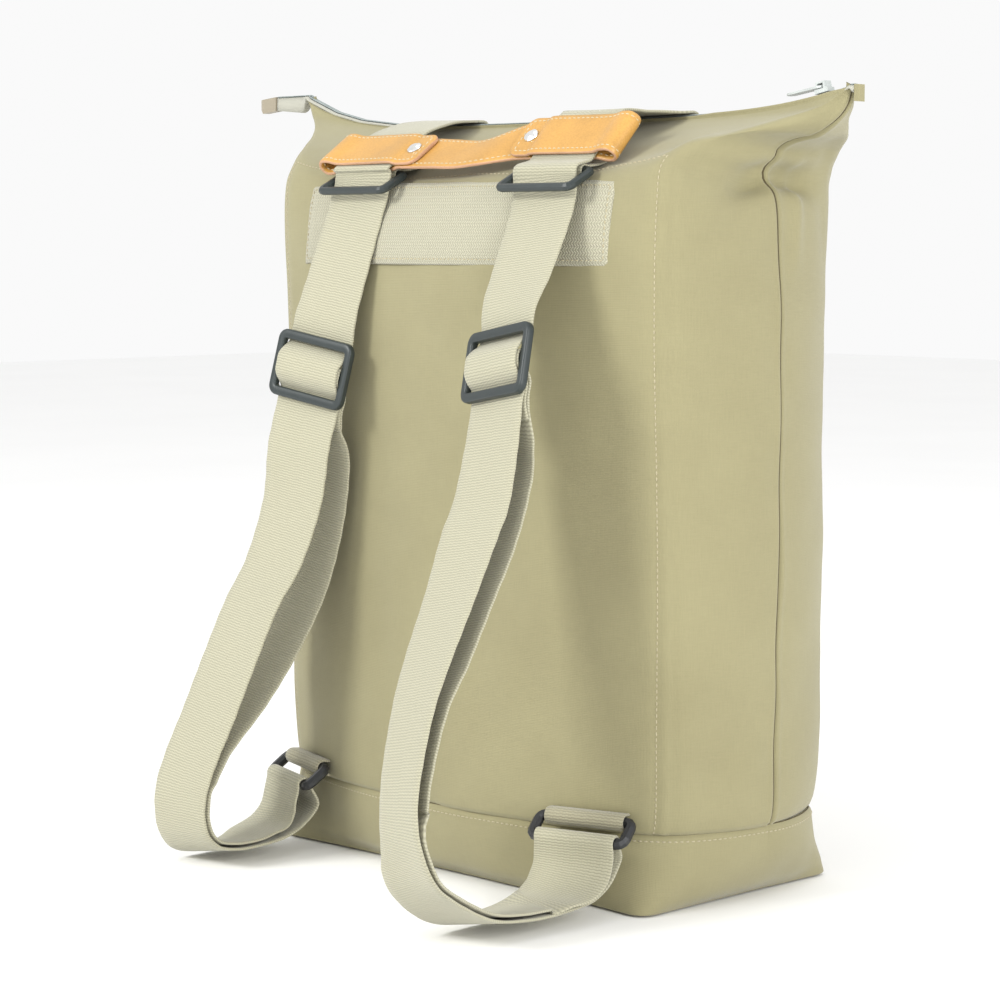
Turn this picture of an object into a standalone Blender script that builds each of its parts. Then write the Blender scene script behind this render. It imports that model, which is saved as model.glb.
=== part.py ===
"""Convertible backpack: a stuffed canvas bag that stands on its base, with a zip along the top, two webbing
shoulder straps on the back and a leather handle that ties the straps together above it.

Metres, +Z up. The origin is on the floor below the middle of the bag. The straps hang on the -Y side.
"""

import math

import bpy
import numpy as np

# Body sizes
BODY_WIDTH = 0.320  # between the corner creases
BODY_DEPTH = 0.132
ZIP_HEIGHT = 0.449
BACK_BULGE = 0.030  # how far the stuffed back panel stands out between its corners
SIDE_BULGE = 0.025
EAR_REACH_RIGHT = 0.073  # how far the folded ear runs out past the corner crease
EAR_REACH_LEFT = 0.056
EAR_LIFT_LEFT = 0.010
CORNER_ROUND = 0.014
CANVAS = 0.0020
MOUTH = 0.0056  # width of the slit below the zip
GAP = 0.0003  # between pieces that touch

# Closure sizes
ZIP_TAPE_THICK = 0.0012
ZIP_TAPE_WIDTH = 0.0094
ZIP_COIL_WIDTH = 0.0046
ZIP_COIL_THICK = 0.0012
ZIP_FIN_DROP = 0.0110  # height of the tape where it stands free past the cloth
ZIP_FIN_LEFT = 0.033
ZIP_FIN_RIGHT = 0.002
ZIP_END_LEFT = 0.016
ZIP_END_RIGHT = 0.0035
ZIP_END_THICK = 0.0056
ZIP_PULL_LENGTH = 0.026
ZIP_PULL_WIDTH = 0.0075

# Webbing and hardware sizes
WEB_WIDTH = 0.050
WEB_THICK = 0.0016
BAND_LENGTH = 0.260
BAND_HEIGHT = 0.048
BAND_TOP = 0.9209 * ZIP_HEIGHT
STRAP_X_TOP = 0.078
STRAP_X_LOW = BODY_WIDTH / 2 - 0.034
LOW_TAB_X = STRAP_X_LOW - 0.006
STRAP_SHIFT = 0.006  # the pair sits a little to the right above the lower rings
RIM_SPREAD = 0.010  # the webbings run a little further apart over the zip
RING_WIRE = 0.0050
RING_INNER_WIDTH = 0.0518
RING_DEPTH = 0.0255
RING_LOW_WIRE = 0.0064
RING_LOW_DEPTH = 0.0225
RING_UP_Y = BODY_DEPTH / 2 + 0.0198
RING_UP_Z = 0.9232 * ZIP_HEIGHT
RING_UP_TILT = 27.0  # degrees, rising toward the bag
RING_LOW_Z = 0.0545
RING_LOW_DROP = 38.0  # degrees below level
RING_LOW_STAND = 0.0028  # between the tab and the panel
TAB_THICK = 0.0014
SLIDER_WIDTH = 0.060
SLIDER_HEIGHT = 0.041
SLIDER_THICK = 0.0048
SLIDER_BAR = 0.0058
CENTRE_BAR_THICK = 0.0030
LOOP_REACH_LEFT = 0.102  # how far each strap's loop stands out from the upper ring
LOOP_REACH_RIGHT = 0.150

# Handle sizes
LEATHER_WIDTH = 0.030
LEATHER_THICK = 0.0024
RIVET_RADIUS = 0.0048
RIVET_SHAFT = 0.0016
RIVET_CAP = 0.0016
RIVET_INSET = 0.0090  # from the webbing's edge to the rivet's centre
FLAP_PAST_RIVET = 0.0100
FOLD_PAST_WEB = 0.015

HALF_W = BODY_WIDTH / 2
HALF_D = BODY_DEPTH / 2

# One row for each section of the body, from the floor to the zip. The heights are shares of ZIP_HEIGHT at the
# middle of the back, at the corner crease and at the side seam. corner_x and corner_y are shares of HALF_W and
# HALF_D, back and side are shares of BACK_BULGE and SIDE_BULGE, and ear is a share of the ear's reach.
SECTION_COLUMNS = ("z_back", "z_corner", "z_side", "corner_x", "corner_y", "back", "side", "ear", "ear_side")
SECTIONS = (
    # the flat bottom and its rolled edge
    (0.000, 0.000, 0.000, 0.960, 1.120, -0.05, -0.02, 0.0, 0.0),
    (0.003, 0.003, 0.003, 1.004, 1.270, -0.18, -0.06, 0.0, 0.0),
    (0.022, 0.024, 0.022, 1.008, 1.200, 0.36, 0.38, 0.0, 0.0),
    (0.058, 0.058, 0.058, 1.000, 1.075, 0.85, 0.82, 0.0, 0.0),
    # the base seam, pinched in
    (0.100, 0.100, 0.100, 0.990, 1.000, 1.08, 0.98, 0.0, 0.0),
    (0.135, 0.135, 0.135, 1.012, 1.030, 1.05, 0.95, 0.0, 0.0),
    (0.245, 0.245, 0.245, 1.020, 1.050, 0.92, 0.93, 0.0, 0.0),
    (0.380, 0.380, 0.380, 1.020, 1.050, 0.80, 0.95, 0.0, 0.0),
    (0.535, 0.535, 0.535, 1.016, 1.060, 0.73, 0.98, 0.0, 0.0),
    (0.690, 0.690, 0.690, 1.012, 1.085, 0.77, 1.02, 0.0, 0.0),
    (0.780, 0.780, 0.780, 1.016, 1.100, 0.73, 0.98, 0.0, 0.0),
    (0.857, 0.858, 0.857, 1.024, 1.110, 0.53, 0.84, 0.0, 0.0),
    (0.905, 0.908, 0.905, 1.028, 1.100, 0.27, 0.69, 0.0, 0.0),
    # the shoulder of the roof, and the kink in the side seam
    (0.922, 0.938, 0.931, 1.028, 1.060, 0.20, 0.44, 0.0, 0.0),
    (0.932, 0.960, 0.956, 1.028, 0.945, 0.16, 0.74, 0.02, 0.0),
    # the roof, and the ears that fold out of it
    (0.949, 0.974, 0.974, 1.028, 0.740, 0.14, 0.00, 0.16, 0.48),
    (0.967, 0.985, 0.979, 1.028, 0.510, 0.12, 0.00, 0.36, 0.66),
    (0.984, 0.998, 0.993, 1.028, 0.270, 0.10, 0.00, 0.58, 0.84),
    (0.995, 1.011, 1.010, 1.028, 0.125, 0.03, 0.00, 0.80, 0.95),
    (1.000, 1.028, 1.031, 1.028, 0.071, 0.00, 0.00, 0.97, 1.00),
)
SEAM_ROW = 4
# The front half's ears start lower and are fuller. Each row replaces these values in the section of its height.
FRONT_COLUMNS = ("z_corner", "corner_y", "back", "ear")
FRONT_EARS = (
    (0.938, 1.060, 0.20, 0.07),
    (0.960, 0.980, 0.08, 0.20),
    (0.974, 0.820, -0.04, 0.38),
    (0.985, 0.620, -0.12, 0.55),
    (0.998, 0.340, -0.05, 0.66),
)
CORNER_X_TOP = 1.028
CAVITY_REACH = 0.42  # share of the ear's reach that stays hollow

# Soft dents of the cloth: where each lies as shares of HALF_W, HALF_D and ZIP_HEIGHT, its radius as a share of
# BODY_DEPTH, and its depth as a share of BACK_BULGE.
DENT_COLUMNS = ("x", "y", "z", "radius", "depth")
DENTS = (
    (1.10, 0.42, 0.925, 0.16, 0.16),
    (1.08, -0.42, 0.915, 0.16, 0.12),
    (-1.10, 0.42, 0.925, 0.16, 0.14),
    (-1.09, -0.40, 0.920, 0.16, 0.12),
    (0.86, -1.22, 0.100, 0.20, 0.08),
    (-0.86, -1.22, 0.100, 0.20, 0.06),
)

# Centre line of the leather handle: y as a share of HALF_D, z of ZIP_HEIGHT, and the strip's tilt toward the bag
# in degrees, where it passes the left webbing, the middle of its span and the right webbing.
HANDLE_COLUMNS = ("y", "z", "tilt")
HANDLE = {"left": (1.100, 0.9640, 35.0), "middle": (1.075, 0.9580, 32.0), "right": (0.920, 0.9770, 47.0)}

# The webbing's route on its -Y side below the upper ring. height is a share of the drop between the two rings,
# out a share of the loop's reach, yaw the turn of the webbing about Z and roll its tip about Y, in degrees.
ROUTE_COLUMNS = ("height", "out", "yaw", "roll")
ROUTES = {
    "left": {
        "reach": LOOP_REACH_LEFT,
        "above": ((0.966, 0.00, 0, 0), (0.861, 0.095, -3, 0), (0.775, 0.170, -6, 0)),
        "slider": (0.687, 0.245, -8, 0),
        "outer": (
            (0.560, 0.290, -7, 0), (0.460, 0.305, -4, 0), (0.358, 0.410, -2, 0), (0.293, 0.543, 0, 0),
            (0.202, 0.676, 0, 0), (0.103, 0.810, 0, 0), (0.032, 0.914, 0, 1), (-0.018, 0.971, 0, 3),
            (-0.056, 0.985, 1, 5), (-0.093, 0.955, 2, 8), (-0.120, 0.870, 3, 10), (-0.132, 0.730, 4, 10),
            (-0.132, 0.520, 6, 9), (-0.122, 0.310, 9, 6), (-0.098, 0.140, 12, 3), (-0.066, 0.050, 14, 0),
        ),
        "joined": (7, 12),
        "front_of_ring": (
            (-0.062, 0.195, 14, 0), (-0.0826, 0.216, 13, 1), (-0.0983, 0.260, 12, 2), (-0.1083, 0.328, 10, 4),
            (-0.1149, 0.412, 8, 6),
        ),
        "inner": (
            (0.000, 0.900, 0, 0), (0.045, 0.815, 0, 0), (0.122, 0.571, 0, 0), (0.202, 0.371, 0, 0),
            (0.287, 0.210, 0, 0), (0.358, 0.133, 0, 0), (0.460, 0.085, 0, 0), (0.545, 0.105, 0, 0),
        ),
    },
    "right": {
        "reach": LOOP_REACH_RIGHT,
        "above": ((0.966, 0.00, 1, 0), (0.861, 0.138, 4, 0), (0.805, 0.220, 9, 0)),
        "slider": (0.716, 0.315, 12, 0),
        "outer": (
            (0.590, 0.378, 10, 0), (0.504, 0.455, 8, 0), (0.460, 0.520, 8, 0), (0.372, 0.642, 13, 0),
            (0.276, 0.784, 17, 0), (0.216, 0.862, 19, 0), (0.136, 0.936, 20, 0), (0.081, 0.972, 20, 1),
            (0.036, 0.982, 18, 3), (-0.010, 0.965, 14, 5), (-0.050, 0.920, 8, 8), (-0.090, 0.815, 2, 10),
            (-0.120, 0.680, -3, 10), (-0.131, 0.520, -7, 10), (-0.129, 0.350, -9, 8), (-0.116, 0.190, -11, 6),
            (-0.088, 0.095, -12, 3), (-0.056, 0.045, -13, 0),
        ),
        "joined": (8, 14),
        "front_of_ring": (
            (-0.062, 0.118, -13, 0), (-0.083, 0.142, -13, 1), (-0.0985, 0.182, -12, 2), (-0.1085, 0.235, -11, 4),
            (-0.114, 0.300, -10, 6),
        ),
        "inner": (
            (0.050, 0.945, 18, 0), (0.110, 0.905, 19, 0), (0.212, 0.800, 18, 0), (0.276, 0.690, 16, 0),
            (0.366, 0.545, 14, 0), (0.440, 0.425, 13, 0), (0.505, 0.345, 12, 0), (0.570, 0.292, 12, 0),
        ),
    },
}


def clear_scene():
    for thing in list(bpy.data.objects):
        bpy.data.objects.remove(thing, do_unlink=True)


def material(name, colour, roughness, metallic=0.0):
    made = bpy.data.materials.new(name)
    made.use_nodes = True
    shader = made.node_tree.nodes["Principled BSDF"]
    shader.inputs["Base Color"].default_value = (*colour, 1.0)
    shader.inputs["Roughness"].default_value = roughness
    shader.inputs["Metallic"].default_value = metallic
    made.diffuse_color = (*colour, 1.0)
    return made


def add_object(name, points, faces, finish):
    mesh = bpy.data.meshes.new(name)
    mesh.from_pydata([tuple(float(c) for c in point) for point in points], [], [tuple(face) for face in faces])
    mesh.materials.append(finish)
    mesh.validate()
    made = bpy.data.objects.new(name, mesh)
    bpy.context.scene.collection.objects.link(made)
    return made


def unit(vector):
    vector = np.asarray(vector, float)
    return vector / np.maximum(np.linalg.norm(vector, axis=-1, keepdims=True), 1e-12)


# Body

SIDE_STEPS = 4
CORNER_STEPS = 2
BACK_STEPS = 7
RIGHT_EAR_POWER = 4.8
LEFT_EAR_POWER = 3.4


def named(columns, row):
    return dict(zip(columns, row))


def half_sections(front):
    """The sections of the back half, or those of the front half with its own ears."""
    own = {row[0]: named(FRONT_COLUMNS, row) for row in FRONT_EARS} if front else {}
    merged = [{**named(SECTION_COLUMNS, row), **own.get(row[1], {})} for row in SECTIONS]
    return tuple(tuple(share[key] for key in SECTION_COLUMNS) for share in merged)


def body_sizes(row):
    """Corner and bulge positions of one section, in metres."""
    share = named(SECTION_COLUMNS, row)
    corner_x = share["corner_x"] * HALF_W + share["ear"] * EAR_REACH_RIGHT
    corner_y = share["corner_y"] * HALF_D
    side_x = share["corner_x"] * HALF_W + share["ear_side"] * EAR_REACH_RIGHT + share["side"] * SIDE_BULGE
    back_y = corner_y + share["back"] * BACK_BULGE
    heights = [share[key] * ZIP_HEIGHT for key in ("z_back", "z_corner", "z_side")]
    return corner_x, corner_y, side_x, back_y, heights, share["ear_side"] > 0


def side_point(row, t):
    """t runs from the side seam (0) to the corner (1)."""
    corner_x, corner_y, side_x, _, (_, z_corner, z_side), is_ear = body_sizes(row)
    power = 1.25 if is_ear else 2.0
    x = side_x - (side_x - corner_x) * t**power
    return np.array([x, -corner_y * t, z_side + (z_corner - z_side) * t * t])


def back_point(row, t):
    """t runs from the corner (0) to the middle of the back (1)."""
    corner_x, corner_y, _, back_y, (z_back, z_corner, _), _ = body_sizes(row)
    out = max(1 - t, 0.0)
    y = back_y - (back_y - corner_y) * out**2.2
    return np.array([corner_x * out, -y, z_back + (z_corner - z_back) * out**RIGHT_EAR_POWER])


def left_side(point, z_share):
    """Moves a point to the left half, where the ear is shorter and stands higher."""
    x, y, z = point
    crease = CORNER_X_TOP * HALF_W
    if x > crease:
        x = crease + (x - crease) * EAR_REACH_LEFT / EAR_REACH_RIGHT
    rise = min(max((z_share - 0.93) / 0.06, 0.0), 1.0)
    tip = crease + EAR_REACH_LEFT
    z += EAR_LIFT_LEFT * rise * (x / tip) ** LEFT_EAR_POWER
    return np.array([-x, y, z])


def quarter(row, side_steps, corner_steps, back_steps):
    """Points from the side seam round the corner to the middle of the back."""
    corner_x, corner_y, side_x, _, _, _ = body_sizes(row)
    side_length = math.hypot(corner_y, side_x - corner_x)
    cut_side = min(CORNER_ROUND / side_length, 0.35)
    cut_back = min(CORNER_ROUND, 0.35 * corner_y) / corner_x
    start = side_point(row, 1 - cut_side)
    end = back_point(row, cut_back)
    apex = side_point(row, 1.0)
    points = [side_point(row, (1 - cut_side) * k / side_steps) for k in range(side_steps)]
    for k in range(corner_steps):
        t = k / corner_steps
        points.append((1 - t) ** 2 * start + 2 * t * (1 - t) * apex + t * t * end)
    points += [back_point(row, cut_back + (1 - cut_back) * k / back_steps) for k in range(back_steps + 1)]
    return np.array(points)


def half_loop(row, steps):
    """Points from the right side seam along the back to the left side seam."""
    right = quarter(row, *steps)
    z_share = row[SECTION_COLUMNS.index("z_corner")]
    left = np.array([left_side(point, z_share) for point in right[:-1]])[::-1]
    return np.vstack([right, left])


def grid_normals(grid, closed):
    """Outward normals of a grid of rows and columns, by central differences."""
    if closed:
        along = np.roll(grid, -1, axis=1) - np.roll(grid, 1, axis=1)
    else:
        along = np.gradient(grid, axis=1)
    up = np.gradient(grid, axis=0)
    return unit(np.cross(up, along))


def dented(grid, normals):
    for row in DENTS:
        dent = named(DENT_COLUMNS, row)
        centre = np.array([dent["x"] * HALF_W, dent["y"] * HALF_D, dent["z"] * ZIP_HEIGHT])
        reach = np.linalg.norm(grid - centre, axis=-1) / (dent["radius"] * BODY_DEPTH)
        grid = grid - normals * (dent["depth"] * BACK_BULGE * np.exp(-reach**2))[..., None]
    return grid


def pull_in_ears(line, limit):
    """Keeps the cavity short of the ear: points past the limit go to a flat end across the ear's root."""
    for order, sign in ((1, 1), (-1, -1)):
        part = line[::order]
        reach = limit[0] if sign > 0 else limit[1]
        inside = np.nonzero(part[:, 0] * sign < reach)[0][0]
        if inside == 0:
            continue
        a, b = part[inside - 1], part[inside]
        t = (a[0] * sign - reach) / ((a[0] - b[0]) * sign)
        cross = a + (b - a) * t
        for k in range(inside):
            part[k] = (sign * reach, cross[1] * (k + 0.02) / (inside - 0.5), cross[2])
    return line


def shell_grids(steps, front):
    """Outer and inner grids of a half shell above the base seam, on the back's side of the middle."""
    rows = half_sections(front)[SEAM_ROW:]
    outer = np.array([half_loop(row, steps) for row in rows])
    outer[0, :, 2] += GAP / 2
    normals = grid_normals(outer, False)
    normals[0, :, 2] = 0
    normals[:, [0, -1], 1] = 0
    normals = unit(normals)
    outer = dented(outer, normals)
    inner = outer - normals * CANVAS
    inner[0, :, 2] = outer[0, :, 2]
    limits = [CORNER_X_TOP * HALF_W + CAVITY_REACH * reach for reach in (EAR_REACH_RIGHT, EAR_REACH_LEFT)]
    for k, row in enumerate(rows):
        if row[SECTION_COLUMNS.index("ear_side")] > 0:
            inner[k] = pull_in_ears(inner[k], limits)
    inner[-1, 1:-1, 1] = -MOUTH / 2
    recess = np.where(np.abs(inner[-1, :, 0]) > HALF_W, 5 * CANVAS, 0)
    inner[-1, :, 2] = np.minimum(inner[-1, :, 2] + CANVAS, rim_height(inner[-1, :, 0])) - recess
    inner[:, [0, -1], 1] = -GAP / 2
    outer[:, [0, -1], 1] = -GAP / 2
    inner[..., 1] = np.minimum(inner[..., 1], -GAP / 2)
    return outer, inner


def rim_points():
    """(x, z) of the cloth's top edge along the zip, from the left tip to the right one."""
    loop = half_loop(SECTIONS[-1], (SIDE_STEPS, CORNER_STEPS, BACK_STEPS))[::-1]
    return loop[:, 0], loop[:, 2]


def rim_height(x):
    return np.interp(x, *rim_points())


def patch_faces(rows, columns, offset, flip):
    faces = []
    for i in range(rows - 1):
        for j in range(columns - 1):
            a = offset + i * columns + j
            face = (a, a + 1, a + columns + 1, a + columns)
            faces.append(face[::-1] if flip else face)
    return faces


def thick_patch(name, outer, inner, finish, mirrored):
    """A closed wall between an outer and an inner grid."""
    rows, columns = outer.shape[:2]
    count = rows * columns
    points = np.vstack([outer.reshape(-1, 3), inner.reshape(-1, 3)])
    faces = patch_faces(rows, columns, 0, True) + patch_faces(rows, columns, count, False)
    ring = [(0, j) for j in range(columns - 1)]
    ring += [(i, columns - 1) for i in range(rows - 1)]
    ring += [(rows - 1, j) for j in range(columns - 1, 0, -1)]
    ring += [(i, 0) for i in range(rows - 1, 0, -1)]
    border = [i * columns + j for i, j in ring]
    for a, b in zip(border, border[1:] + border[:1]):
        faces.append((a, b, b + count, a + count))
    if mirrored:
        points = points * (1, -1, 1)
        faces = [face[::-1] for face in faces]
    return facing_out(add_object(name, points, faces, finish))


def full_loop(row, steps):
    """The whole closed section, from the right side seam round the back, the left and the front."""
    back = half_loop(row, steps)
    front = (back * (1, -1, 1))[::-1][1:-1]
    return np.vstack([back, front])


def build_body(finish):
    steps = (SIDE_STEPS, CORNER_STEPS, BACK_STEPS)
    for name, front in (("body_back", False), ("body_front", True)):
        outer, inner = shell_grids(steps, front)
        thick_patch(name, outer, inner, finish, front)


def build_base(finish):
    steps = (SIDE_STEPS, CORNER_STEPS, BACK_STEPS)
    rows = SECTIONS[: SEAM_ROW + 1]
    outer = np.array([full_loop(row, steps) for row in rows])
    outer[-1, :, 2] -= GAP / 2
    normals = grid_normals(outer, True)
    normals[-1, :, 2] = 0
    normals = unit(normals)
    outer = dented(outer, normals)
    outer[0, :, 2] = 0
    inner = outer[1:] - normals[1:] * CANVAS
    inner[-1, :, 2] = outer[-1, :, 2]
    inner[0, :, 2] = CANVAS
    inner[1, :, 2] = np.maximum(inner[1, :, 2], 2 * CANVAS)
    columns = outer.shape[1]
    closed_outer = np.concatenate([outer, outer[:, :1]], axis=1)
    closed_inner = np.concatenate([inner, inner[:, :1]], axis=1)
    points = list(outer.reshape(-1, 3)) + list(inner.reshape(-1, 3))
    points += [np.zeros(3), np.array([0, 0, CANVAS])]
    first_inner = outer.shape[0] * columns
    faces = []
    for start, grid, flip in ((0, closed_outer, True), (first_inner, closed_inner, False)):
        for i in range(grid.shape[0] - 1):
            for j in range(columns):
                k = (j + 1) % columns
                a, b = start + i * columns + j, start + i * columns + k
                face = (a, b, b + columns, a + columns)
                faces.append(face[::-1] if flip else face)
    top_outer = (outer.shape[0] - 1) * columns
    top_inner = first_inner + (inner.shape[0] - 1) * columns
    bottom, floor = len(points) - 2, len(points) - 1
    for j in range(columns):
        k = (j + 1) % columns
        faces.append((top_outer + j, top_inner + j, top_inner + k, top_outer + k))
        faces.append((bottom, j, k))
        faces.append((floor, first_inner + k, first_inner + j))
    facing_out(add_object("base", points, faces, finish))


# Surface of the back

def back_line(x, front=False):
    """(y, z) of every section above the base seam at this x, as a panel and roof run up to the zip."""
    line = []
    for row in half_sections(front)[SEAM_ROW:]:
        corner_x = body_sizes(row)[0]
        if abs(x) < corner_x:
            point = back_point(row, 1 - abs(x) / corner_x)
            if x < 0:
                point = left_side((abs(x), point[1], point[2]), row[SECTION_COLUMNS.index("z_corner")])
            line.append((point[1], point[2]))
    return np.array(line)


def panel_y(x, z):
    line = back_line(x)
    return float(np.interp(z, line[:, 1], line[:, 0]))


def roof_z(x, y):
    line = back_line(x)[::-1]
    roof = line[line[:, 0] > panel_y(x, 0.90 * ZIP_HEIGHT)][::-1]
    return float(np.interp(-abs(y), roof[:, 0], roof[:, 1]))


# Swept pieces

def smooth_path(points, step):
    """A smooth curve through the points, sampled about every step, closer where it bends."""
    points = np.asarray(points, float)
    gaps = np.linalg.norm(np.diff(points[:, :3], axis=0), axis=1)
    knots = np.concatenate([[0], np.cumsum(np.sqrt(np.maximum(gaps, 1e-9)))])
    slopes = np.gradient(points, knots, axis=0)
    dense = []
    for k in range(len(points) - 1):
        span = knots[k + 1] - knots[k]
        pieces = max(int(math.ceil(gaps[k] / step)), 2)
        for j in range(pieces):
            t = j / pieces
            h = (2 * t**3 - 3 * t**2 + 1, t**3 - 2 * t**2 + t, -2 * t**3 + 3 * t**2, t**3 - t**2)
            dense.append(h[0] * points[k] + h[1] * span * slopes[k] + h[2] * points[k + 1] + h[3] * span * slopes[k + 1])
    dense.append(points[-1])
    return np.array(dense)


def width_direction(yaw, roll):
    yaw, roll = math.radians(yaw), math.radians(roll)
    return np.array([math.cos(yaw) * math.cos(roll), -math.sin(yaw) * math.cos(roll), math.sin(roll)])


def ribbon_frames(path):
    """Centres, width directions and normals along rows of (x, y, z, yaw, roll)."""
    centres = path[:, :3]
    steps = unit(np.diff(centres, axis=0))
    tangents = unit(np.vstack([steps[:1], steps[:-1] + steps[1:], steps[-1:]]))
    across = np.array([width_direction(yaw, roll) for yaw, roll in path[:, 3:5]])
    across = unit(across - tangents * (across * tangents).sum(axis=1)[:, None])
    return centres, across, unit(np.cross(across, tangents))


def swept(name, sections, finish):
    """A closed solid through rings of points, with flat ends."""
    count = len(sections[0])
    points = [point for section in sections for point in section]
    faces = []
    for i in range(len(sections) - 1):
        for j in range(count):
            k = (j + 1) % count
            a, b = i * count + j, i * count + k
            faces.append((a, b, b + count, a + count))
    last = (len(sections) - 1) * count
    faces.append(tuple(range(count))[::-1])
    faces.append(tuple(last + j for j in range(count)))
    return facing_out(add_object(name, points, faces, finish))


def facing_out(thing):
    """Turns the faces round if the closed mesh is inside out."""
    mesh = thing.data
    mesh.calc_loop_triangles()
    points = np.array([vertex.co for vertex in mesh.vertices])
    corners = points[[list(triangle.vertices) for triangle in mesh.loop_triangles]]
    if np.linalg.det(corners).sum() < 0:
        mesh.flip_normals()
    return thing


def ribbon(name, path, width, thick, finish):
    centres, across, normals = ribbon_frames(path)
    half = across * width / 2
    up = normals * thick / 2
    sections = np.stack([centres - half - up, centres + half - up, centres + half + up, centres - half + up], axis=1)
    return swept(name, sections, finish)


def rounded_rectangle(width, depth, radius, corner_steps):
    points = []
    for k, (sx, sy) in enumerate(((1, 1), (-1, 1), (-1, -1), (1, -1))):
        for j in range(corner_steps + 1):
            angle = math.pi / 2 * (k + j / corner_steps)
            x = sx * (width / 2 - radius) + radius * math.cos(angle)
            y = sy * (depth / 2 - radius) + radius * math.sin(angle)
            points.append((x, y))
    return np.array(points)


def wire_loop(name, centre, axis_u, axis_v, width, depth, wire, finish):
    """A rectangular ring of round wire; width and depth are measured outside."""
    radius = min(wire * 0.62, depth / 2 - wire / 2)
    outline = rounded_rectangle(width - wire, depth - wire, radius, 3)
    axis_n = np.cross(axis_u, axis_v)
    path = centre + outline[:, :1] * axis_u + outline[:, 1:] * axis_v
    tangents = unit(np.roll(path, -1, axis=0) - np.roll(path, 1, axis=0))
    outward = np.cross(tangents, axis_n)
    sides = 8
    angles = [2 * math.pi * (k + 0.5) / sides for k in range(sides)]
    sections = [
        [path[i] + wire / 2 * (math.cos(a) * outward[i] + math.sin(a) * axis_n) for a in angles]
        for i in range(len(path))
    ]
    points = [point for section in sections for point in section]
    faces = []
    for i in range(len(path)):
        n = (i + 1) % len(path)
        for j in range(sides):
            k = (j + 1) % sides
            faces.append((i * sides + j, i * sides + k, n * sides + k, n * sides + j))
    return facing_out(add_object(name, points, faces, finish))


# Straps

SIDES = {"left": -1, "right": 1}
PASS_Y = RING_UP_Y + 0.0020
LAYER_STEP = 0.0034  # between the two layers of webbing that lie on each other
FRONT_STAND = 0.0006  # the flat webbing stands this far off the bulged front


def strap_x(side, height):
    """Centre of the webbing: height 0 is the lower ring, 1 the upper one."""
    sign = SIDES[side]
    top = sign * STRAP_X_TOP + STRAP_SHIFT
    low = sign * STRAP_X_LOW
    return low + (top - low) * min(max(height, 0.0), 1.0)


def route_point(side, row):
    share = named(ROUTE_COLUMNS, row)
    z = RING_LOW_Z + share["height"] * (RING_UP_Z - RING_LOW_Z)
    y = -(PASS_Y + share["out"] * ROUTES[side]["reach"])
    return np.array([strap_x(side, share["height"]), y, z, share["yaw"], share["roll"]])


def low_ring_turn():
    """The slope of the bulged panel behind a lower ring, in radians."""
    span = RING_INNER_WIDTH / 2
    inner, outer = (panel_y(LOW_TAB_X + shift, RING_LOW_Z) for shift in (-span, span))
    return math.atan2(outer - inner, 2 * span)


def low_ring_frame(side):
    """Rear bar, front bar, the ring's width direction and its level outward direction."""
    sign = SIDES[side]
    turn = low_ring_turn()
    across = np.array([math.cos(turn), sign * math.sin(turn), 0.0])
    outward = np.array([sign * math.sin(turn), -math.cos(turn), 0.0])
    x = sign * LOW_TAB_X
    stand = RING_LOW_WIRE / 2 + GAP + TAB_THICK + RING_LOW_STAND
    rear = np.array([x, panel_y(x, RING_LOW_Z), RING_LOW_Z - 0.0015]) + outward * stand
    drop = math.radians(RING_LOW_DROP)
    along = outward * math.cos(drop) - np.array([0, 0, math.sin(drop)])
    front = rear + along * (RING_LOW_DEPTH - RING_LOW_WIRE)
    return rear, front, across, outward, along


def handle_frame(key):
    share = named(HANDLE_COLUMNS, HANDLE[key])
    tilt = math.radians(share["tilt"])
    centre = np.array([0.0, -share["y"] * HALF_D, share["z"] * ZIP_HEIGHT])
    return centre, np.array([0, math.cos(tilt), math.sin(tilt)]), np.array([0, -math.sin(tilt), math.cos(tilt)])


def distance_to(line, place, normal):
    """How far the polyline lies from the place along the normal."""
    found = []
    for a, b in zip(line[:-1], line[1:]):
        along = b - a
        turn = normal[0] * along[1] - normal[1] * along[0]
        if abs(turn) < 1e-9:
            continue
        gap = a - place
        t = (normal[1] * gap[0] - normal[0] * gap[1]) / turn
        if -0.05 <= t <= 1.05:
            found.append((gap[0] * along[1] - gap[1] * along[0]) / turn)
    return min(found, key=abs) if found else 0.0


def lying_on(x, place, normal, stand):
    """A path row for webbing that lies on the cloth at this (y, z) of its profile, tipped to the cloth's slope."""
    shifts = (-WEB_WIDTH / 2, 0.0, WEB_WIDTH / 2)
    low, middle, high = (distance_to(back_line(x + shift, True), place, normal) for shift in shifts)
    rise = high - low
    centre = place + normal * ((low + high) / 2 + max(middle - (low + high) / 2, 0.0) + stand)
    length = math.hypot(WEB_WIDTH, rise)
    roll = math.degrees(math.asin(normal[1] * rise / length))
    yaw = math.degrees(math.atan2(-normal[0] * rise, WEB_WIDTH))
    return x, centre[0], centre[1], yaw, roll


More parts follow.
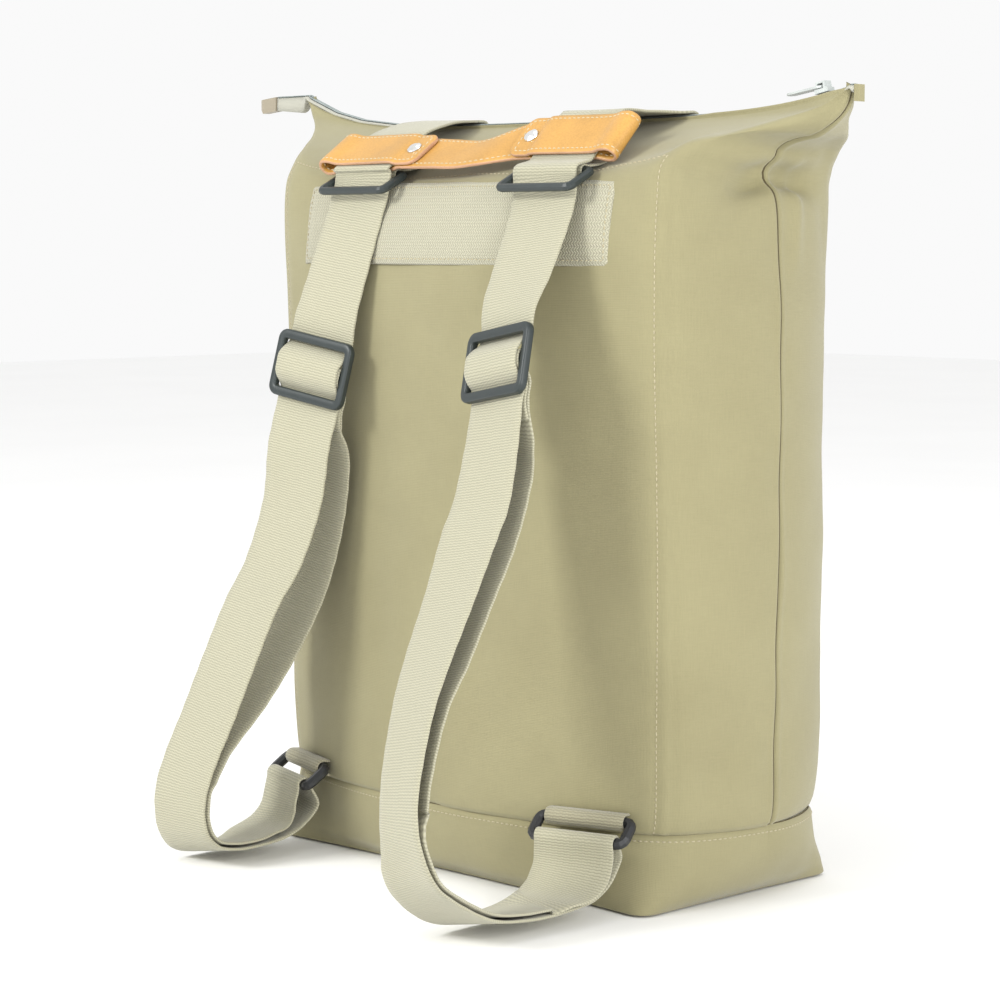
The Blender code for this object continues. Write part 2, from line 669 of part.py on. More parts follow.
def over_the_top(side):
    """From the sewn end on the front panel over the zip to the leather loop."""
    x = strap_x(side, 1.0)
    rim_x = x + SIDES[side] * RIM_SPREAD
    line = back_line(rim_x, True)
    line = line[line[:, 1] > 0.83 * ZIP_HEIGHT]
    slope = unit(np.gradient(line, axis=0))
    normal = np.stack([-slope[:, 1], slope[:, 0]], axis=1)
    stand = WEB_THICK / 2 + GAP + FRONT_STAND
    points = []
    for place, out in zip(line[:-1], normal):
        _, y, z, yaw, roll = lying_on(rim_x, place, out, stand)
        points.append((rim_x, -y, z, -yaw, roll))
    half = WEB_WIDTH / 2
    edges = [float(rim_height(rim_x + shift)) for shift in (-half, half)]
    roll = math.degrees(math.atan2(edges[1] - edges[0], WEB_WIDTH))
    top = sum(edges) / 2 + 4 * GAP + ZIP_TAPE_THICK + ZIP_COIL_THICK + WEB_THICK / 2
    points.append((rim_x, ZIP_TAPE_WIDTH / 2, top - 0.0006, 0, roll))
    points.append((rim_x, 0.0, top, 0, roll))
    points.append((rim_x, -ZIP_TAPE_WIDTH / 2, top - 0.0003, 0, roll))
    centre, across, _ = handle_frame(side)
    reach = LEATHER_WIDTH / 2
    high = centre + across * (reach + 0.005)
    points.append((rim_x * 0.4 + x * 0.6, high[1] * 0.55, top + (high[2] - top) * 0.30, 0, 0))
    for along in (reach + 0.005, reach - 0.002, 0, 0.002 - reach, -reach - 0.0032):
        place = centre + across * along
        points.append((x, place[1], place[2], 0, 0))
    points.append((x, -RING_UP_Y + 0.0004, RING_UP_Z + 0.0070, 0, 0))
    points.append((x, -RING_UP_Y, RING_UP_Z, 0, 0))
    return points


def slider_frame(side):
    """Centre, width direction, downward direction and outward normal of the tri-glide slider."""
    route = ROUTES[side]
    above = route_point(side, route["above"][-1])
    below = route_point(side, route["outer"][0])
    centre = route_point(side, route["slider"])
    down = unit(below[:3] - above[:3])
    across = width_direction(centre[3], 0)
    across = unit(across - down * (across @ down))
    return centre, across, down, np.cross(down, across)


def turns_of(across):
    """The yaw and roll, in degrees, that width_direction turns into this vector."""
    return math.degrees(math.atan2(-across[1], across[0])), math.degrees(math.asin(across[2]))


def on_slider(side, pairs):
    centre, across, down, normal = slider_frame(side)
    return [(*(centre[:3] + down * u + normal * n), *turns_of(across)) for u, n in pairs]


def strap_path(side):
    """The whole route of one webbing, as rows of (x, y, z, yaw, roll)."""
    route = ROUTES[side]
    half = SLIDER_HEIGHT / 2
    behind = -(SLIDER_THICK / 2 + GAP + WEB_THICK / 2)
    wrap = CENTRE_BAR_THICK / 2 + GAP + WEB_THICK / 2
    over = wrap + WEB_THICK + 0.0004
    bar = SLIDER_BAR / 2
    points = over_the_top(side)
    points += [tuple(route_point(side, row)) for row in route["above"]]
    inner_edge = half - SLIDER_BAR
    down = [(bar + 0.0020, over - 0.0004), (inner_edge - 0.0051, 0.0009), (inner_edge - 0.0007, behind)]
    down += [(half + 0.001, behind)]
    points += on_slider(side, [(-u, n) for u, n in down[::-1]] + [(0, over)] + down)
    outer = [route_point(side, row) for row in route["outer"]]
    _, front, across, outward, _ = low_ring_frame(side)
    turns = turns_of(across)
    outer[-1] = in_ring_plane(outer[-1], front, outward, turns)
    points += [tuple(point) for point in outer]
    radius = RING_LOW_WIRE / 2 + GAP + WEB_THICK / 2
    for angle in (-15, 25, 60, 95, 130, 165, 195):
        a = math.radians(angle)
        place = front - outward * radius * math.cos(a) + np.array([0, 0, radius * math.sin(a)])
        points.append((*place, *turns))
    for k, row in enumerate(route["front_of_ring"]):
        free = route_point(side, row)
        kept = 1 - k / len(route["front_of_ring"])
        points.append(tuple(free + (in_ring_plane(free, front, outward, turns) - free) * kept))
    path = np.array(outer)
    _, _, normals = ribbon_frames(path)
    first, last = route["joined"]
    middle = path[:, :3].mean(axis=0)
    for k in range(last, first - 1, -1):
        inward = normals[k] if normals[k] @ (middle - path[k, :3]) > 0 else -normals[k]
        points.append((*(path[k, :3] + inward * LAYER_STEP), *path[k, 3:]))
    points += [tuple(route_point(side, row)) for row in route["inner"]]
    step = WEB_THICK + 0.0004
    tail = behind - step
    back = tail - step
    loop = [(half + 0.0130, back - 0.0034), (half + 0.006, back - 0.0010), (half, back), (inner_edge - 0.0027, back)]
    loop += [(bar + 0.0050, back * 0.75), (bar + 0.0002, -wrap), (-bar + 0.0009, -wrap - 0.0001)]
    loop += [(-bar - 0.0009, 0.0005 - wrap), (-bar - 0.0014, 0), (-bar - 0.0009, wrap - 0.0005)]
    loop += [(-bar + 0.0009, wrap + 0.0001), (bar + 0.0004, wrap), (bar + 0.0031, 0.0010), (bar + 0.0054, -0.0022)]
    loop += [(inner_edge - 0.0021, tail + 0.0003), (half, tail), (half + 0.006, tail - 0.0010)]
    loop += [(half + 0.0125, tail - 0.0034)]
    points += on_slider(side, loop)
    return np.array(points)


def in_ring_plane(row, front, outward, turns):
    """Moves a path row sideways so that the webbing runs square to the lower ring's front bar."""
    reach = (row[1] - front[1]) / outward[1]
    return np.array([front[0] + reach * outward[0], row[1], row[2], *turns])


def build_strap(side, finish):
    path = smooth_path(strap_path(side), 0.012)
    ribbon(f"strap_{side}", path, WEB_WIDTH, WEB_THICK, finish)


def build_slider(side, finish):
    centre, across, down, normal = slider_frame(side)
    outline = rounded_rectangle(SLIDER_WIDTH, SLIDER_HEIGHT, 0.005, 2)
    plate = flat_plate(f"slider_{side}", outline, SLIDER_THICK, finish)
    slot_width = WEB_WIDTH + 0.0022
    bar_offset = (SLIDER_HEIGHT / 2 - SLIDER_BAR + SLIDER_BAR / 2) / 2
    slot_height = SLIDER_HEIGHT / 2 - SLIDER_BAR * 1.5
    cutters = []
    for sign in (-1, 1):
        box = rounded_rectangle(slot_width, slot_height, 0.0012, 1) + (0, sign * bar_offset)
        cutters.append(flat_plate("cut", box, SLIDER_THICK * 3, finish))
        step = rounded_rectangle(slot_width, SLIDER_BAR + 0.004, 0.0012, 1)
        cutters.append(flat_plate("cut", step, 0.01, finish, sign * (CENTRE_BAR_THICK / 2 + 0.005)))
    cut_away(plate, cutters)
    place_in_frame(plate, centre[:3], across, down, normal)


def flat_plate(name, outline, thick, finish, offset=0.0):
    count = len(outline)
    points = [(x, y, offset - thick / 2) for x, y in outline] + [(x, y, offset + thick / 2) for x, y in outline]
    faces = [(j, (j + 1) % count, (j + 1) % count + count, j + count) for j in range(count)]
    faces += [tuple(range(count))[::-1], tuple(range(count, 2 * count))]
    return facing_out(add_object(name, points, faces, finish))


def cut_away(thing, cutters):
    """Applies each cutter as a Boolean difference and removes it."""
    for cutter in cutters:
        modifier = thing.modifiers.new("cut", "BOOLEAN")
        modifier.operation = "DIFFERENCE"
        modifier.solver = "EXACT"
        modifier.object = cutter
        bpy.context.view_layer.update()
        evaluated = thing.evaluated_get(bpy.context.evaluated_depsgraph_get())
        result = bpy.data.meshes.new_from_object(evaluated)
        thing.modifiers.clear()
        thing.data = result
        bpy.data.objects.remove(cutter, do_unlink=True)


def place_in_frame(thing, origin, axis_x, axis_y, axis_z):
    """Moves the mesh from its own axes to the given ones."""
    frame = np.stack([axis_x, axis_y, axis_z])
    points = np.array([vertex.co for vertex in thing.data.vertices]) @ frame + origin
    for vertex, point in zip(thing.data.vertices, points):
        vertex.co = point
    facing_out(thing)


def build_upper_ring(side, plastic, webbing):
    x = strap_x(side, 1.0)
    tilt = math.radians(RING_UP_TILT)
    axis_u = np.array([1.0, 0, 0])
    axis_v = np.array([0, math.cos(tilt), math.sin(tilt)])
    centre = np.array([x, -RING_UP_Y, RING_UP_Z])
    width = RING_INNER_WIDTH + 2 * RING_WIRE
    wire_loop(f"ring_upper_{side}", centre, axis_u, axis_v, width, RING_DEPTH, RING_WIRE, plastic)
    rear = centre + axis_v * (RING_DEPTH - RING_WIRE) / 2
    radius = RING_WIRE / 2 + GAP + TAB_THICK / 2
    lift = TAB_THICK / 2 + 0.0010
    edges = (x - WEB_WIDTH / 2, x, x + WEB_WIDTH / 2)
    points = []
    for back_off in (0.024, 0.015):
        y = rear[1] + back_off
        points.append((x, y, max(roof_z(edge, y) for edge in edges) + lift, 0, 0))
    for angle in (55, 90, 125, 160, 195, 230, 262):
        a = math.radians(angle)
        points.append((x, rear[1] + radius * math.cos(a), rear[2] + radius * math.sin(a), 0, 0))
    y = rear[1] + 0.0050
    points.append((x, y, max(roof_z(edge, y) for edge in edges) + lift, 0, 0))
    ribbon(f"ring_tab_upper_{side}", smooth_path(points, 0.02), WEB_WIDTH - 0.003, TAB_THICK, webbing)


def build_lower_ring(side, plastic, webbing):
    rear, front, across, outward, along = low_ring_frame(side)
    width = RING_INNER_WIDTH + 2 * RING_LOW_WIRE
    centre = (rear + front) / 2
    wire_loop(f"ring_lower_{side}", centre, across, along, width, RING_LOW_DEPTH, RING_LOW_WIRE, plastic)
    radius = RING_LOW_WIRE / 2 + GAP + TAB_THICK / 2
    yaw = -SIDES[side] * math.degrees(low_ring_turn())
    points = []
    for angle in (80, 110, 140, 170, 200, 230, 260, 280):
        a = math.radians(angle)
        place = rear - outward * radius * math.cos(a) + np.array([0, 0, radius * math.sin(a)])
        points.append((*place, yaw, 0))
    seat = outward * (RING_LOW_WIRE / 2 + GAP + TAB_THICK * 0.75)
    upper_end = rear - seat + np.array([0, 0, radius - 0.0004])
    lower_end = rear - seat - np.array([0, 0, radius + 0.0010])
    points = [(*upper_end, yaw, 0)] + points + [(*lower_end, yaw, 0)]
    ribbon(f"ring_tab_lower_{side}", smooth_path(points, 0.02), WEB_WIDTH, TAB_THICK, webbing)


# Band, zip and handle

def build_band(finish):
    across = np.linspace(-BAND_LENGTH / 2, BAND_LENGTH / 2, 17)
    heights = np.linspace(BAND_TOP - BAND_HEIGHT, BAND_TOP, 5)
    near = 0.0009
    grid = np.array([[(-x, panel_y(-x, z), z) for x in across] for z in heights])
    normals = grid_normals(grid, False)
    inner = grid + normals * near
    outer = grid + normals * (near + WEB_THICK)
    thick_patch("wide_band", outer, inner, finish, False)


def ear_tips():
    crease = CORNER_X_TOP * HALF_W
    return -(crease + EAR_REACH_LEFT), crease + EAR_REACH_RIGHT


def zip_frame(x):
    """A point on top of the coil, the zip's direction and its upward normal."""
    step = 0.004
    rise = float(rim_height(x + step) - rim_height(x - step)) / (2 * step)
    along = unit(np.array([1.0, 0, rise]))
    top = float(rim_height(x)) + 2 * GAP + ZIP_TAPE_THICK + ZIP_COIL_THICK
    return np.array([x, 0, top]), along, np.array([-along[2], 0, along[0]])


def box_sections(stations):
    """Rectangles across X from rows of (x, half width, low z, high z)."""
    return [[(x, -w, low), (x, w, low), (x, w, high), (x, -w, high)] for x, w, low, high in stations]


def build_zip(tape, coil, metal, end_web):
    left_tip, right_tip = ear_tips()
    left_end, right_end = left_tip - ZIP_FIN_LEFT, right_tip + ZIP_FIN_RIGHT
    stations = []
    inside = np.concatenate([[left_tip - GAP], rim_points()[0][1:-1], [right_tip + GAP]])
    fin = 0.0017
    for x in np.linspace(left_end, left_tip - 2 * GAP, 5):
        top = float(rim_height(x)) + GAP + ZIP_TAPE_THICK
        drop = ZIP_FIN_DROP * (0.75 + 0.25 * (x - left_end) / ZIP_FIN_LEFT)
        stations.append((x, fin, top - drop, top))
    for x in inside:
        low = float(rim_height(x)) + GAP
        stations.append((x, ZIP_TAPE_WIDTH / 2, low, low + ZIP_TAPE_THICK))
    for x in (right_tip + 2 * GAP, right_end):
        top = float(rim_height(x)) + GAP + ZIP_TAPE_THICK
        stations.append((x, fin, top - ZIP_FIN_DROP * 0.8, top))
    swept("zip_tape", box_sections(stations), tape)
    coils = []
    for x, half, _, top in stations:
        coils.append((x, ZIP_COIL_WIDTH / 2 if half > fin else fin, top + GAP, top + GAP + ZIP_COIL_THICK))
    swept("zip_coil", box_sections(coils), coil)
    for side, start, length in (("left", left_end, -ZIP_END_LEFT), ("right", right_end, ZIP_END_RIGHT)):
        top = float(rim_height(start)) + ZIP_TAPE_THICK + ZIP_COIL_THICK
        begin = start + math.copysign(GAP, length)
        stations = []
        for share, slim in ((0.0, 1.0), (0.85, 1.0), (1.0, 0.7)):
            sag = 0.10 * abs(length) * share
            x = begin + length * share
            stations.append((x, ZIP_END_THICK / 2 * slim, top - ZIP_FIN_DROP * 0.85 * slim - sag, top - sag))
        swept(f"zip_end_{side}", box_sections(stations), end_web)
    build_zip_slider(metal)


ZIP_SLIDER_X = 0.2170


def build_zip_slider(metal):
    origin, along, up = zip_frame(ZIP_SLIDER_X)
    aside = np.array([0, 1.0, 0])
    height, length = 0.0026, 0.0095
    arch = 0.0030
    profile = [(-length / 2, GAP), (length / 2, GAP), (length / 2, height), (0.0032, height + 0.0006)]
    profile += [(0.0030, height + arch + 0.0010), (-0.0034, height + arch + 0.0010), (-0.0034, height + 0.0008)]
    profile += [(-0.0022, height + 0.0008), (-0.0022, height + arch), (0.0018, height + arch), (0.0016, height)]
    profile += [(-length / 2, height)]
    slim = flat_plate("zip_slider", np.array(profile), 0.0060, metal)
    place_in_frame(slim, origin, along, up, aside)
    eye = 0.0052
    outline = rounded_rectangle(ZIP_PULL_LENGTH, ZIP_PULL_WIDTH, 0.0028, 3)
    pull = flat_plate("zip_pull", outline, 0.0012, metal)
    hole = rounded_rectangle(eye, 0.0068, 0.0004, 1) + (ZIP_PULL_LENGTH / 2 - 0.0012 - eye / 2, 0)
    cut_away(pull, [flat_plate("cut", hole * (1, 0.9), 0.01, metal)])
    bar_place = origin + along * (ZIP_PULL_X - ZIP_PULL_LENGTH / 2) + up * (height + 0.0016)
    sag = math.radians(-2.0)
    direction = along * math.cos(sag) + up * math.sin(sag)
    place_in_frame(pull, bar_place, direction, aside, np.cross(direction, aside))


ZIP_PULL_X = 0.0008


def handle_points(side):
    """The strip from the flap's end out round the webbing and back under it: (distance out, offset)."""
    layer = LEATHER_THICK / 2 + GAP / 2
    near = WEB_THICK / 2 + LEATHER_THICK / 2 + 0.0004
    edge = WEB_WIDTH / 2
    rivet = edge + RIVET_INSET
    fold = edge + FOLD_PAST_WEB
    flat = -rivet + RIVET_RADIUS + 0.0008
    flap = [(-rivet - FLAP_PAST_RIVET, layer), (-rivet, layer), (flat, layer), (-edge - 0.0008, near)]
    flap += [(0.0, near), (edge, near + 0.0002), (fold - 0.009, 0.0042), (fold - 0.0025, 0.0038), (fold, 0.0)]
    under = [(fold - 0.0025, -0.0040), (fold - 0.009, -0.0044), (edge, -near - 0.0002), (0.0, -near)]
    under += [(-edge - 0.0008, -near), (flat, -layer), (-rivet, -layer)]
    return flap + under + [(-rivet - FLAP_PAST_RIVET - 0.002, -layer)]


def handle_at(x):
    """Centre, width direction and normal of the strip's middle plane at x."""
    places = [strap_x("left", 1.0), 0.5 * STRAP_SHIFT, strap_x("right", 1.0)]
    values = np.array([HANDLE["left"], HANDLE["middle"], HANDLE["right"]])
    if x <= places[0]:
        share = values[0]
    elif x >= places[2]:
        share = values[2]
    else:
        k = 0 if x < places[1] else 1
        flat = WEB_WIDTH / 2 + RIVET_INSET + 0.004
        reach = abs(places[2 * k] - places[1]) - flat
        t = min(abs(x - places[1]) / reach, 1.0)
        t = t * t * (3 - 2 * t)
        share = values[1] + (values[2 * k] - values[1]) * t
    tilt = math.radians(share[2])
    centre = np.array([x, -share[0] * HALF_D, share[1] * ZIP_HEIGHT])
    return centre, np.array([0, math.cos(tilt), math.sin(tilt)]), np.array([0, -math.sin(tilt), math.cos(tilt)])


def handle_path():
    """Rows of (x, offset) along the strip, from the left flap's end to the right flap's end."""
    rows = []
    for side in ("left", "right"):
        sign = SIDES[side]
        part = [(strap_x(side, 1.0) + sign * out, offset) for out, offset in handle_points(side)]
        rows.append(part)
    middle = 0.5 * STRAP_SHIFT
    return rows[0] + [(middle - 0.012, 0.0), (middle + 0.012, 0.0)] + rows[1][::-1]


def build_handle(leather, metal):
    path = np.array(handle_path())
    padded = np.hstack([path[:, :1], np.zeros((len(path), 1)), path[:, 1:]])
    dense = smooth_path(padded, 0.014)
    flat = dense[:, [0, 2]]
    slope = unit(np.gradient(flat, axis=0))
    sections = []
    for (x, offset), (dx, dn) in zip(flat, slope):
        centre, across, normal = handle_at(x)
        place = centre + normal * offset
        side_normal = normal * dx - np.array([1.0, 0, 0]) * dn
        half = across * LEATHER_WIDTH / 2
        thick = side_normal * LEATHER_THICK / 2
        sections.append([place - half - thick, place + half - thick, place + half + thick, place - half + thick])
    strip = swept("handle", sections, leather)
    for side in SIDES:
        x = strap_x(side, 1.0) - SIDES[side] * (WEB_WIDTH / 2 + RIVET_INSET)
        centre, across, normal = handle_at(x)
        hole = round_stack("cut", [(-0.02, RIVET_SHAFT + GAP), (0.02, RIVET_SHAFT + GAP)], leather)
        place_in_frame(hole, centre, np.array([1.0, 0, 0]), across, normal)
        cut_away(strip, [hole])
        face = LEATHER_THICK + GAP / 2 + GAP
        stack = [(-face - 0.0010, RIVET_SHAFT * 1.6), (-face, RIVET_SHAFT * 2.0), (-face, RIVET_SHAFT)]
        stack += [(face, RIVET_SHAFT), (face, RIVET_RADIUS), (face + RIVET_CAP * 0.45, RIVET_RADIUS * 0.93)]
        stack += [(face + RIVET_CAP, RIVET_RADIUS * 0.55)]
        cap = round_stack(f"rivet_{side}", stack, metal)
        place_in_frame(cap, centre, np.array([1.0, 0, 0]), across, normal)


def round_stack(name, profile, finish, sides=16):
    """A turned solid from rows of (height, radius)."""
    sections = []
    for height, radius in profile:
        angles = [2 * math.pi * k / sides for k in range(sides)]
        sections.append([(radius * math.cos(a), radius * math.sin(a), height) for a in angles])
    return swept(name, sections, finish)


def main():
    clear_scene()
    canvas = material("khaki_canvas", (0.47, 0.43, 0.26), 0.85)
    band_web = material("band_webbing", (0.58, 0.54, 0.36), 0.8)
    strap_web = material("cream_webbing", (0.74, 0.70, 0.52), 0.8)
    leather = material("tan_leather", (0.83, 0.48, 0.16), 0.5)
    steel = material("bright_steel", (0.80, 0.80, 0.80), 0.25, 1.0)
    plastic = material("grey_plastic", (0.052, 0.072, 0.075), 0.45)
    black = material("black_plastic", (0.018, 0.019, 0.021), 0.4)
    tape = material("pale_tape", (0.78, 0.79, 0.70), 0.8)
    coil = material("grey_coil", (0.42, 0.47, 0.46), 0.45)
    painted = material("pale_painted_metal", (0.66, 0.71, 0.69), 0.4, 0.3)
    end_web = material("beige_tape", (0.60, 0.52, 0.36), 0.85)
    build_base(canvas)
    build_body(canvas)
    build_band(band_web)
    build_zip(tape, coil, painted, end_web)
    for side in SIDES:
        build_strap(side, strap_web)
        build_slider(side, plastic)
        build_upper_ring(side, plastic, strap_web)
        build_lower_ring(side, black, band_web)
    build_handle(leather, steel)


main()
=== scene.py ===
import math

import bmesh
import bpy
import numpy as np
from mathutils import Matrix


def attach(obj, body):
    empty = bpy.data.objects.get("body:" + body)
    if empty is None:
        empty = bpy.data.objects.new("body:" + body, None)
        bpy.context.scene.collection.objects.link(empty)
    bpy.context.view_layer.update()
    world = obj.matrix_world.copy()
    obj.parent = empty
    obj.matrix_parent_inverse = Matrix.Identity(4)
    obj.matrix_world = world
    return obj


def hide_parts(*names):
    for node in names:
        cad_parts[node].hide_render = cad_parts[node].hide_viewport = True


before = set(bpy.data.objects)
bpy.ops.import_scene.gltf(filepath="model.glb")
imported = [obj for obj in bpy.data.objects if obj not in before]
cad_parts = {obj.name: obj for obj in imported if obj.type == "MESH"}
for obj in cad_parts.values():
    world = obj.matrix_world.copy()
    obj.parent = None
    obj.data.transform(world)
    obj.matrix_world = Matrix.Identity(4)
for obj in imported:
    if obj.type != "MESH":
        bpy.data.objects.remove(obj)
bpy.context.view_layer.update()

# Body sizes, in metres, as the CAD source has them
BODY_WIDTH = 0.320
BODY_DEPTH = 0.132
ZIP_HEIGHT = 0.449
BACK_BULGE = 0.030
SIDE_BULGE = 0.025
EAR_REACH_RIGHT = 0.073
EAR_REACH_LEFT = 0.056
EAR_LIFT_LEFT = 0.010
CORNER_ROUND = 0.014
GAP = 0.0003
HALF_W = BODY_WIDTH / 2
HALF_D = BODY_DEPTH / 2
SIDES = {"left": -1, "right": 1}

# Closure sizes
ZIP_TAPE_THICK = 0.0012
ZIP_TAPE_WIDTH = 0.0094
ZIP_COIL_WIDTH = 0.0046
ZIP_COIL_THICK = 0.0012
ZIP_FIN_DROP = 0.0110
ZIP_FIN_LEFT = 0.033
ZIP_FIN_RIGHT = 0.002
FIN_HALF = 0.0017
FIN_FOLD = 0.006
TOOTH_PITCH = 0.0013
TOOTH_RADIUS = 0.00055
CROWN = 0.00015

# Webbing and hardware sizes
WEB_WIDTH = 0.050
WEB_THICK = 0.0016
BAND_LENGTH = 0.260
BAND_HEIGHT = 0.048
BAND_TOP = 0.9209 * ZIP_HEIGHT
STRAP_X_TOP = 0.078
STRAP_X_LOW = BODY_WIDTH / 2 - 0.034
LOW_TAB_X = STRAP_X_LOW - 0.006
STRAP_SHIFT = 0.006
RIM_SPREAD = 0.010
RING_WIRE = 0.0050
RING_INNER_WIDTH = 0.0518
RING_DEPTH = 0.0255
RING_LOW_WIRE = 0.0064
RING_LOW_DEPTH = 0.0225
RING_UP_Y = BODY_DEPTH / 2 + 0.0198
RING_UP_Z = 0.9232 * ZIP_HEIGHT
RING_UP_TILT = 27.0
RING_LOW_Z = 0.0545
RING_LOW_DROP = 38.0
RING_LOW_STAND = 0.0028
TAB_THICK = 0.0014
SLIDER_WIDTH = 0.060
SLIDER_HEIGHT = 0.041
SLIDER_THICK = 0.0048
SLIDER_BAR = 0.0058
SLIDER_ROUND = 0.0062
SLOT_ROUND = 0.0016
CENTRE_BAR_THICK = 0.0030
PASS_Y = RING_UP_Y + 0.0020
LAYER_STEP = 0.0034
FRONT_STAND = 0.0006

# Handle sizes
LEATHER_WIDTH = 0.030
LEATHER_THICK = 0.0024
RIVET_RADIUS = 0.0048
RIVET_INSET = 0.0090
FLAP_PAST_RIVET = 0.0100
FOLD_PAST_WEB = 0.015
FLAP_CORNER = 0.0065
END_ZONE = 0.0080
END_STATIONS = np.array([0.0002, 0.0007, 0.0014, 0.0024, 0.0036, 0.0050, 0.0065])

# Stitches: distance from an edge or corner, and the size of one stitch
BAND_INSET = 0.0032
LEATHER_INSET = 0.0030
LEATHER_END_INSET = 0.0032
CORNER_INSET = 0.0050
BASE_INSET = 0.0042
TOP_STITCH_Z = 0.4285
KINK_Z = 0.935 * ZIP_HEIGHT
LEATHER_STITCH = {"pitch": 0.0036, "share": 0.66, "radius": 0.00042}

# Grid of one body half: points on its side, its corner and its back
STEPS = (38, 12, 62)
CORNER_COLUMN = STEPS[0] + STEPS[1] // 2
SEAM_CROWD = 1.6
SEAM_ROW = 4
HALF_SPACING = 0.0030
BASE_SPACING = 0.0022
TUCK = 0.004

# Sections of the body from the floor to the zip, with the same columns and rows as in the CAD source
SECTION_COLUMNS = ("z_back", "z_corner", "z_side", "corner_x", "corner_y", "back", "side", "ear", "ear_side")
SECTIONS = (
    (0.000, 0.000, 0.000, 0.960, 1.120, -0.05, -0.02, 0.0, 0.0),
    (0.003, 0.003, 0.003, 1.004, 1.270, -0.18, -0.06, 0.0, 0.0),
    (0.022, 0.024, 0.022, 1.008, 1.200, 0.36, 0.38, 0.0, 0.0),
    (0.058, 0.058, 0.058, 1.000, 1.075, 0.85, 0.82, 0.0, 0.0),
    (0.100, 0.100, 0.100, 0.990, 1.000, 1.08, 0.98, 0.0, 0.0),
    (0.135, 0.135, 0.135, 1.012, 1.030, 1.05, 0.95, 0.0, 0.0),
    (0.245, 0.245, 0.245, 1.020, 1.050, 0.92, 0.93, 0.0, 0.0),
    (0.380, 0.380, 0.380, 1.020, 1.050, 0.80, 0.95, 0.0, 0.0),
    (0.535, 0.535, 0.535, 1.016, 1.060, 0.73, 0.98, 0.0, 0.0),
    (0.690, 0.690, 0.690, 1.012, 1.085, 0.77, 1.02, 0.0, 0.0),
    (0.780, 0.780, 0.780, 1.016, 1.100, 0.73, 0.98, 0.0, 0.0),
    (0.857, 0.858, 0.857, 1.024, 1.110, 0.53, 0.84, 0.0, 0.0),
    (0.905, 0.908, 0.905, 1.028, 1.100, 0.27, 0.69, 0.0, 0.0),
    (0.922, 0.938, 0.931, 1.028, 1.060, 0.20, 0.44, 0.0, 0.0),
    (0.932, 0.960, 0.956, 1.028, 0.945, 0.16, 0.74, 0.02, 0.0),
    (0.949, 0.974, 0.974, 1.028, 0.740, 0.14, 0.00, 0.16, 0.48),
    (0.967, 0.985, 0.979, 1.028, 0.510, 0.12, 0.00, 0.36, 0.66),
    (0.984, 0.998, 0.993, 1.028, 0.270, 0.10, 0.00, 0.58, 0.84),
    (0.995, 1.011, 1.010, 1.028, 0.125, 0.03, 0.00, 0.80, 0.95),
    (1.000, 1.028, 1.031, 1.028, 0.071, 0.00, 0.00, 0.97, 1.00),
)
# The front half's ears start lower and are fuller. Each row replaces these values in the section of its height.
# The cloth, in FRONT_SWELL, stands a little past its solid near the tip.
FRONT_COLUMNS = ("z_corner", "corner_y", "back", "ear")
FRONT_EARS = (
    (0.938, 1.060, 0.20, 0.07),
    (0.960, 0.980, 0.08, 0.20),
    (0.974, 0.820, -0.04, 0.38),
    (0.985, 0.620, -0.12, 0.55),
    (0.998, 0.340, -0.05, 0.66),
)
FRONT_SWELL = ((0.998, 0.390, -0.18, 0.70), (1.011, 0.180, -0.09, 0.88))
CREASE_X = 1.028 * HALF_W
RIGHT_EAR_POWER = 4.8
LEFT_EAR_POWER = 3.4

# Soft folds of the cloth on one half, as shares of HALF_W, HALF_D and ZIP_HEIGHT from start to end, the fold's
# width as a share of BODY_DEPTH and its height as a share of BACK_BULGE: above 0 stands out, below 0 sinks in.
FOLD_COLUMNS = ("x0", "y0", "z0", "x1", "y1", "z1", "width", "height")
BACK_FOLDS = (
    (1.10, -0.05, 0.925, 1.10, -0.55, 0.905, 0.060, -0.24),
    (1.12, -0.10, 0.955, 1.02, -0.86, 0.962, 0.045, 0.140),
    (1.10, -0.08, 0.930, 1.06, -0.70, 0.830, 0.070, -0.120),
    (1.05, -0.88, 0.940, 1.28, -0.35, 0.985, 0.050, -0.045),
    (1.02, -0.95, 0.930, 0.70, -1.05, 0.925, 0.060, 0.030),
    (1.13, -0.05, 0.880, 1.13, -0.20, 0.600, 0.050, -0.030),
    (-1.10, -0.05, 0.925, -1.10, -0.55, 0.905, 0.075, -0.10),
    (-1.12, -0.10, 0.955, -1.02, -0.86, 0.962, 0.055, 0.055),
    (-1.05, -0.88, 0.940, -1.22, -0.35, 0.990, 0.050, -0.045),
    (-1.02, -0.95, 0.930, -0.70, -1.05, 0.925, 0.060, 0.030),
    (0.95, -1.10, 0.125, 0.55, -1.25, 0.240, 0.080, -0.035),
    (-0.95, -1.10, 0.125, -0.55, -1.25, 0.240, 0.080, -0.030),
    (1.06, -0.90, 0.140, 1.12, -0.30, 0.230, 0.075, -0.030),
    (0.20, -1.45, 0.130, 0.26, -1.35, 0.420, 0.110, -0.030),
    (-0.30, -1.45, 0.180, -0.34, -1.35, 0.600, 0.120, -0.028),
)
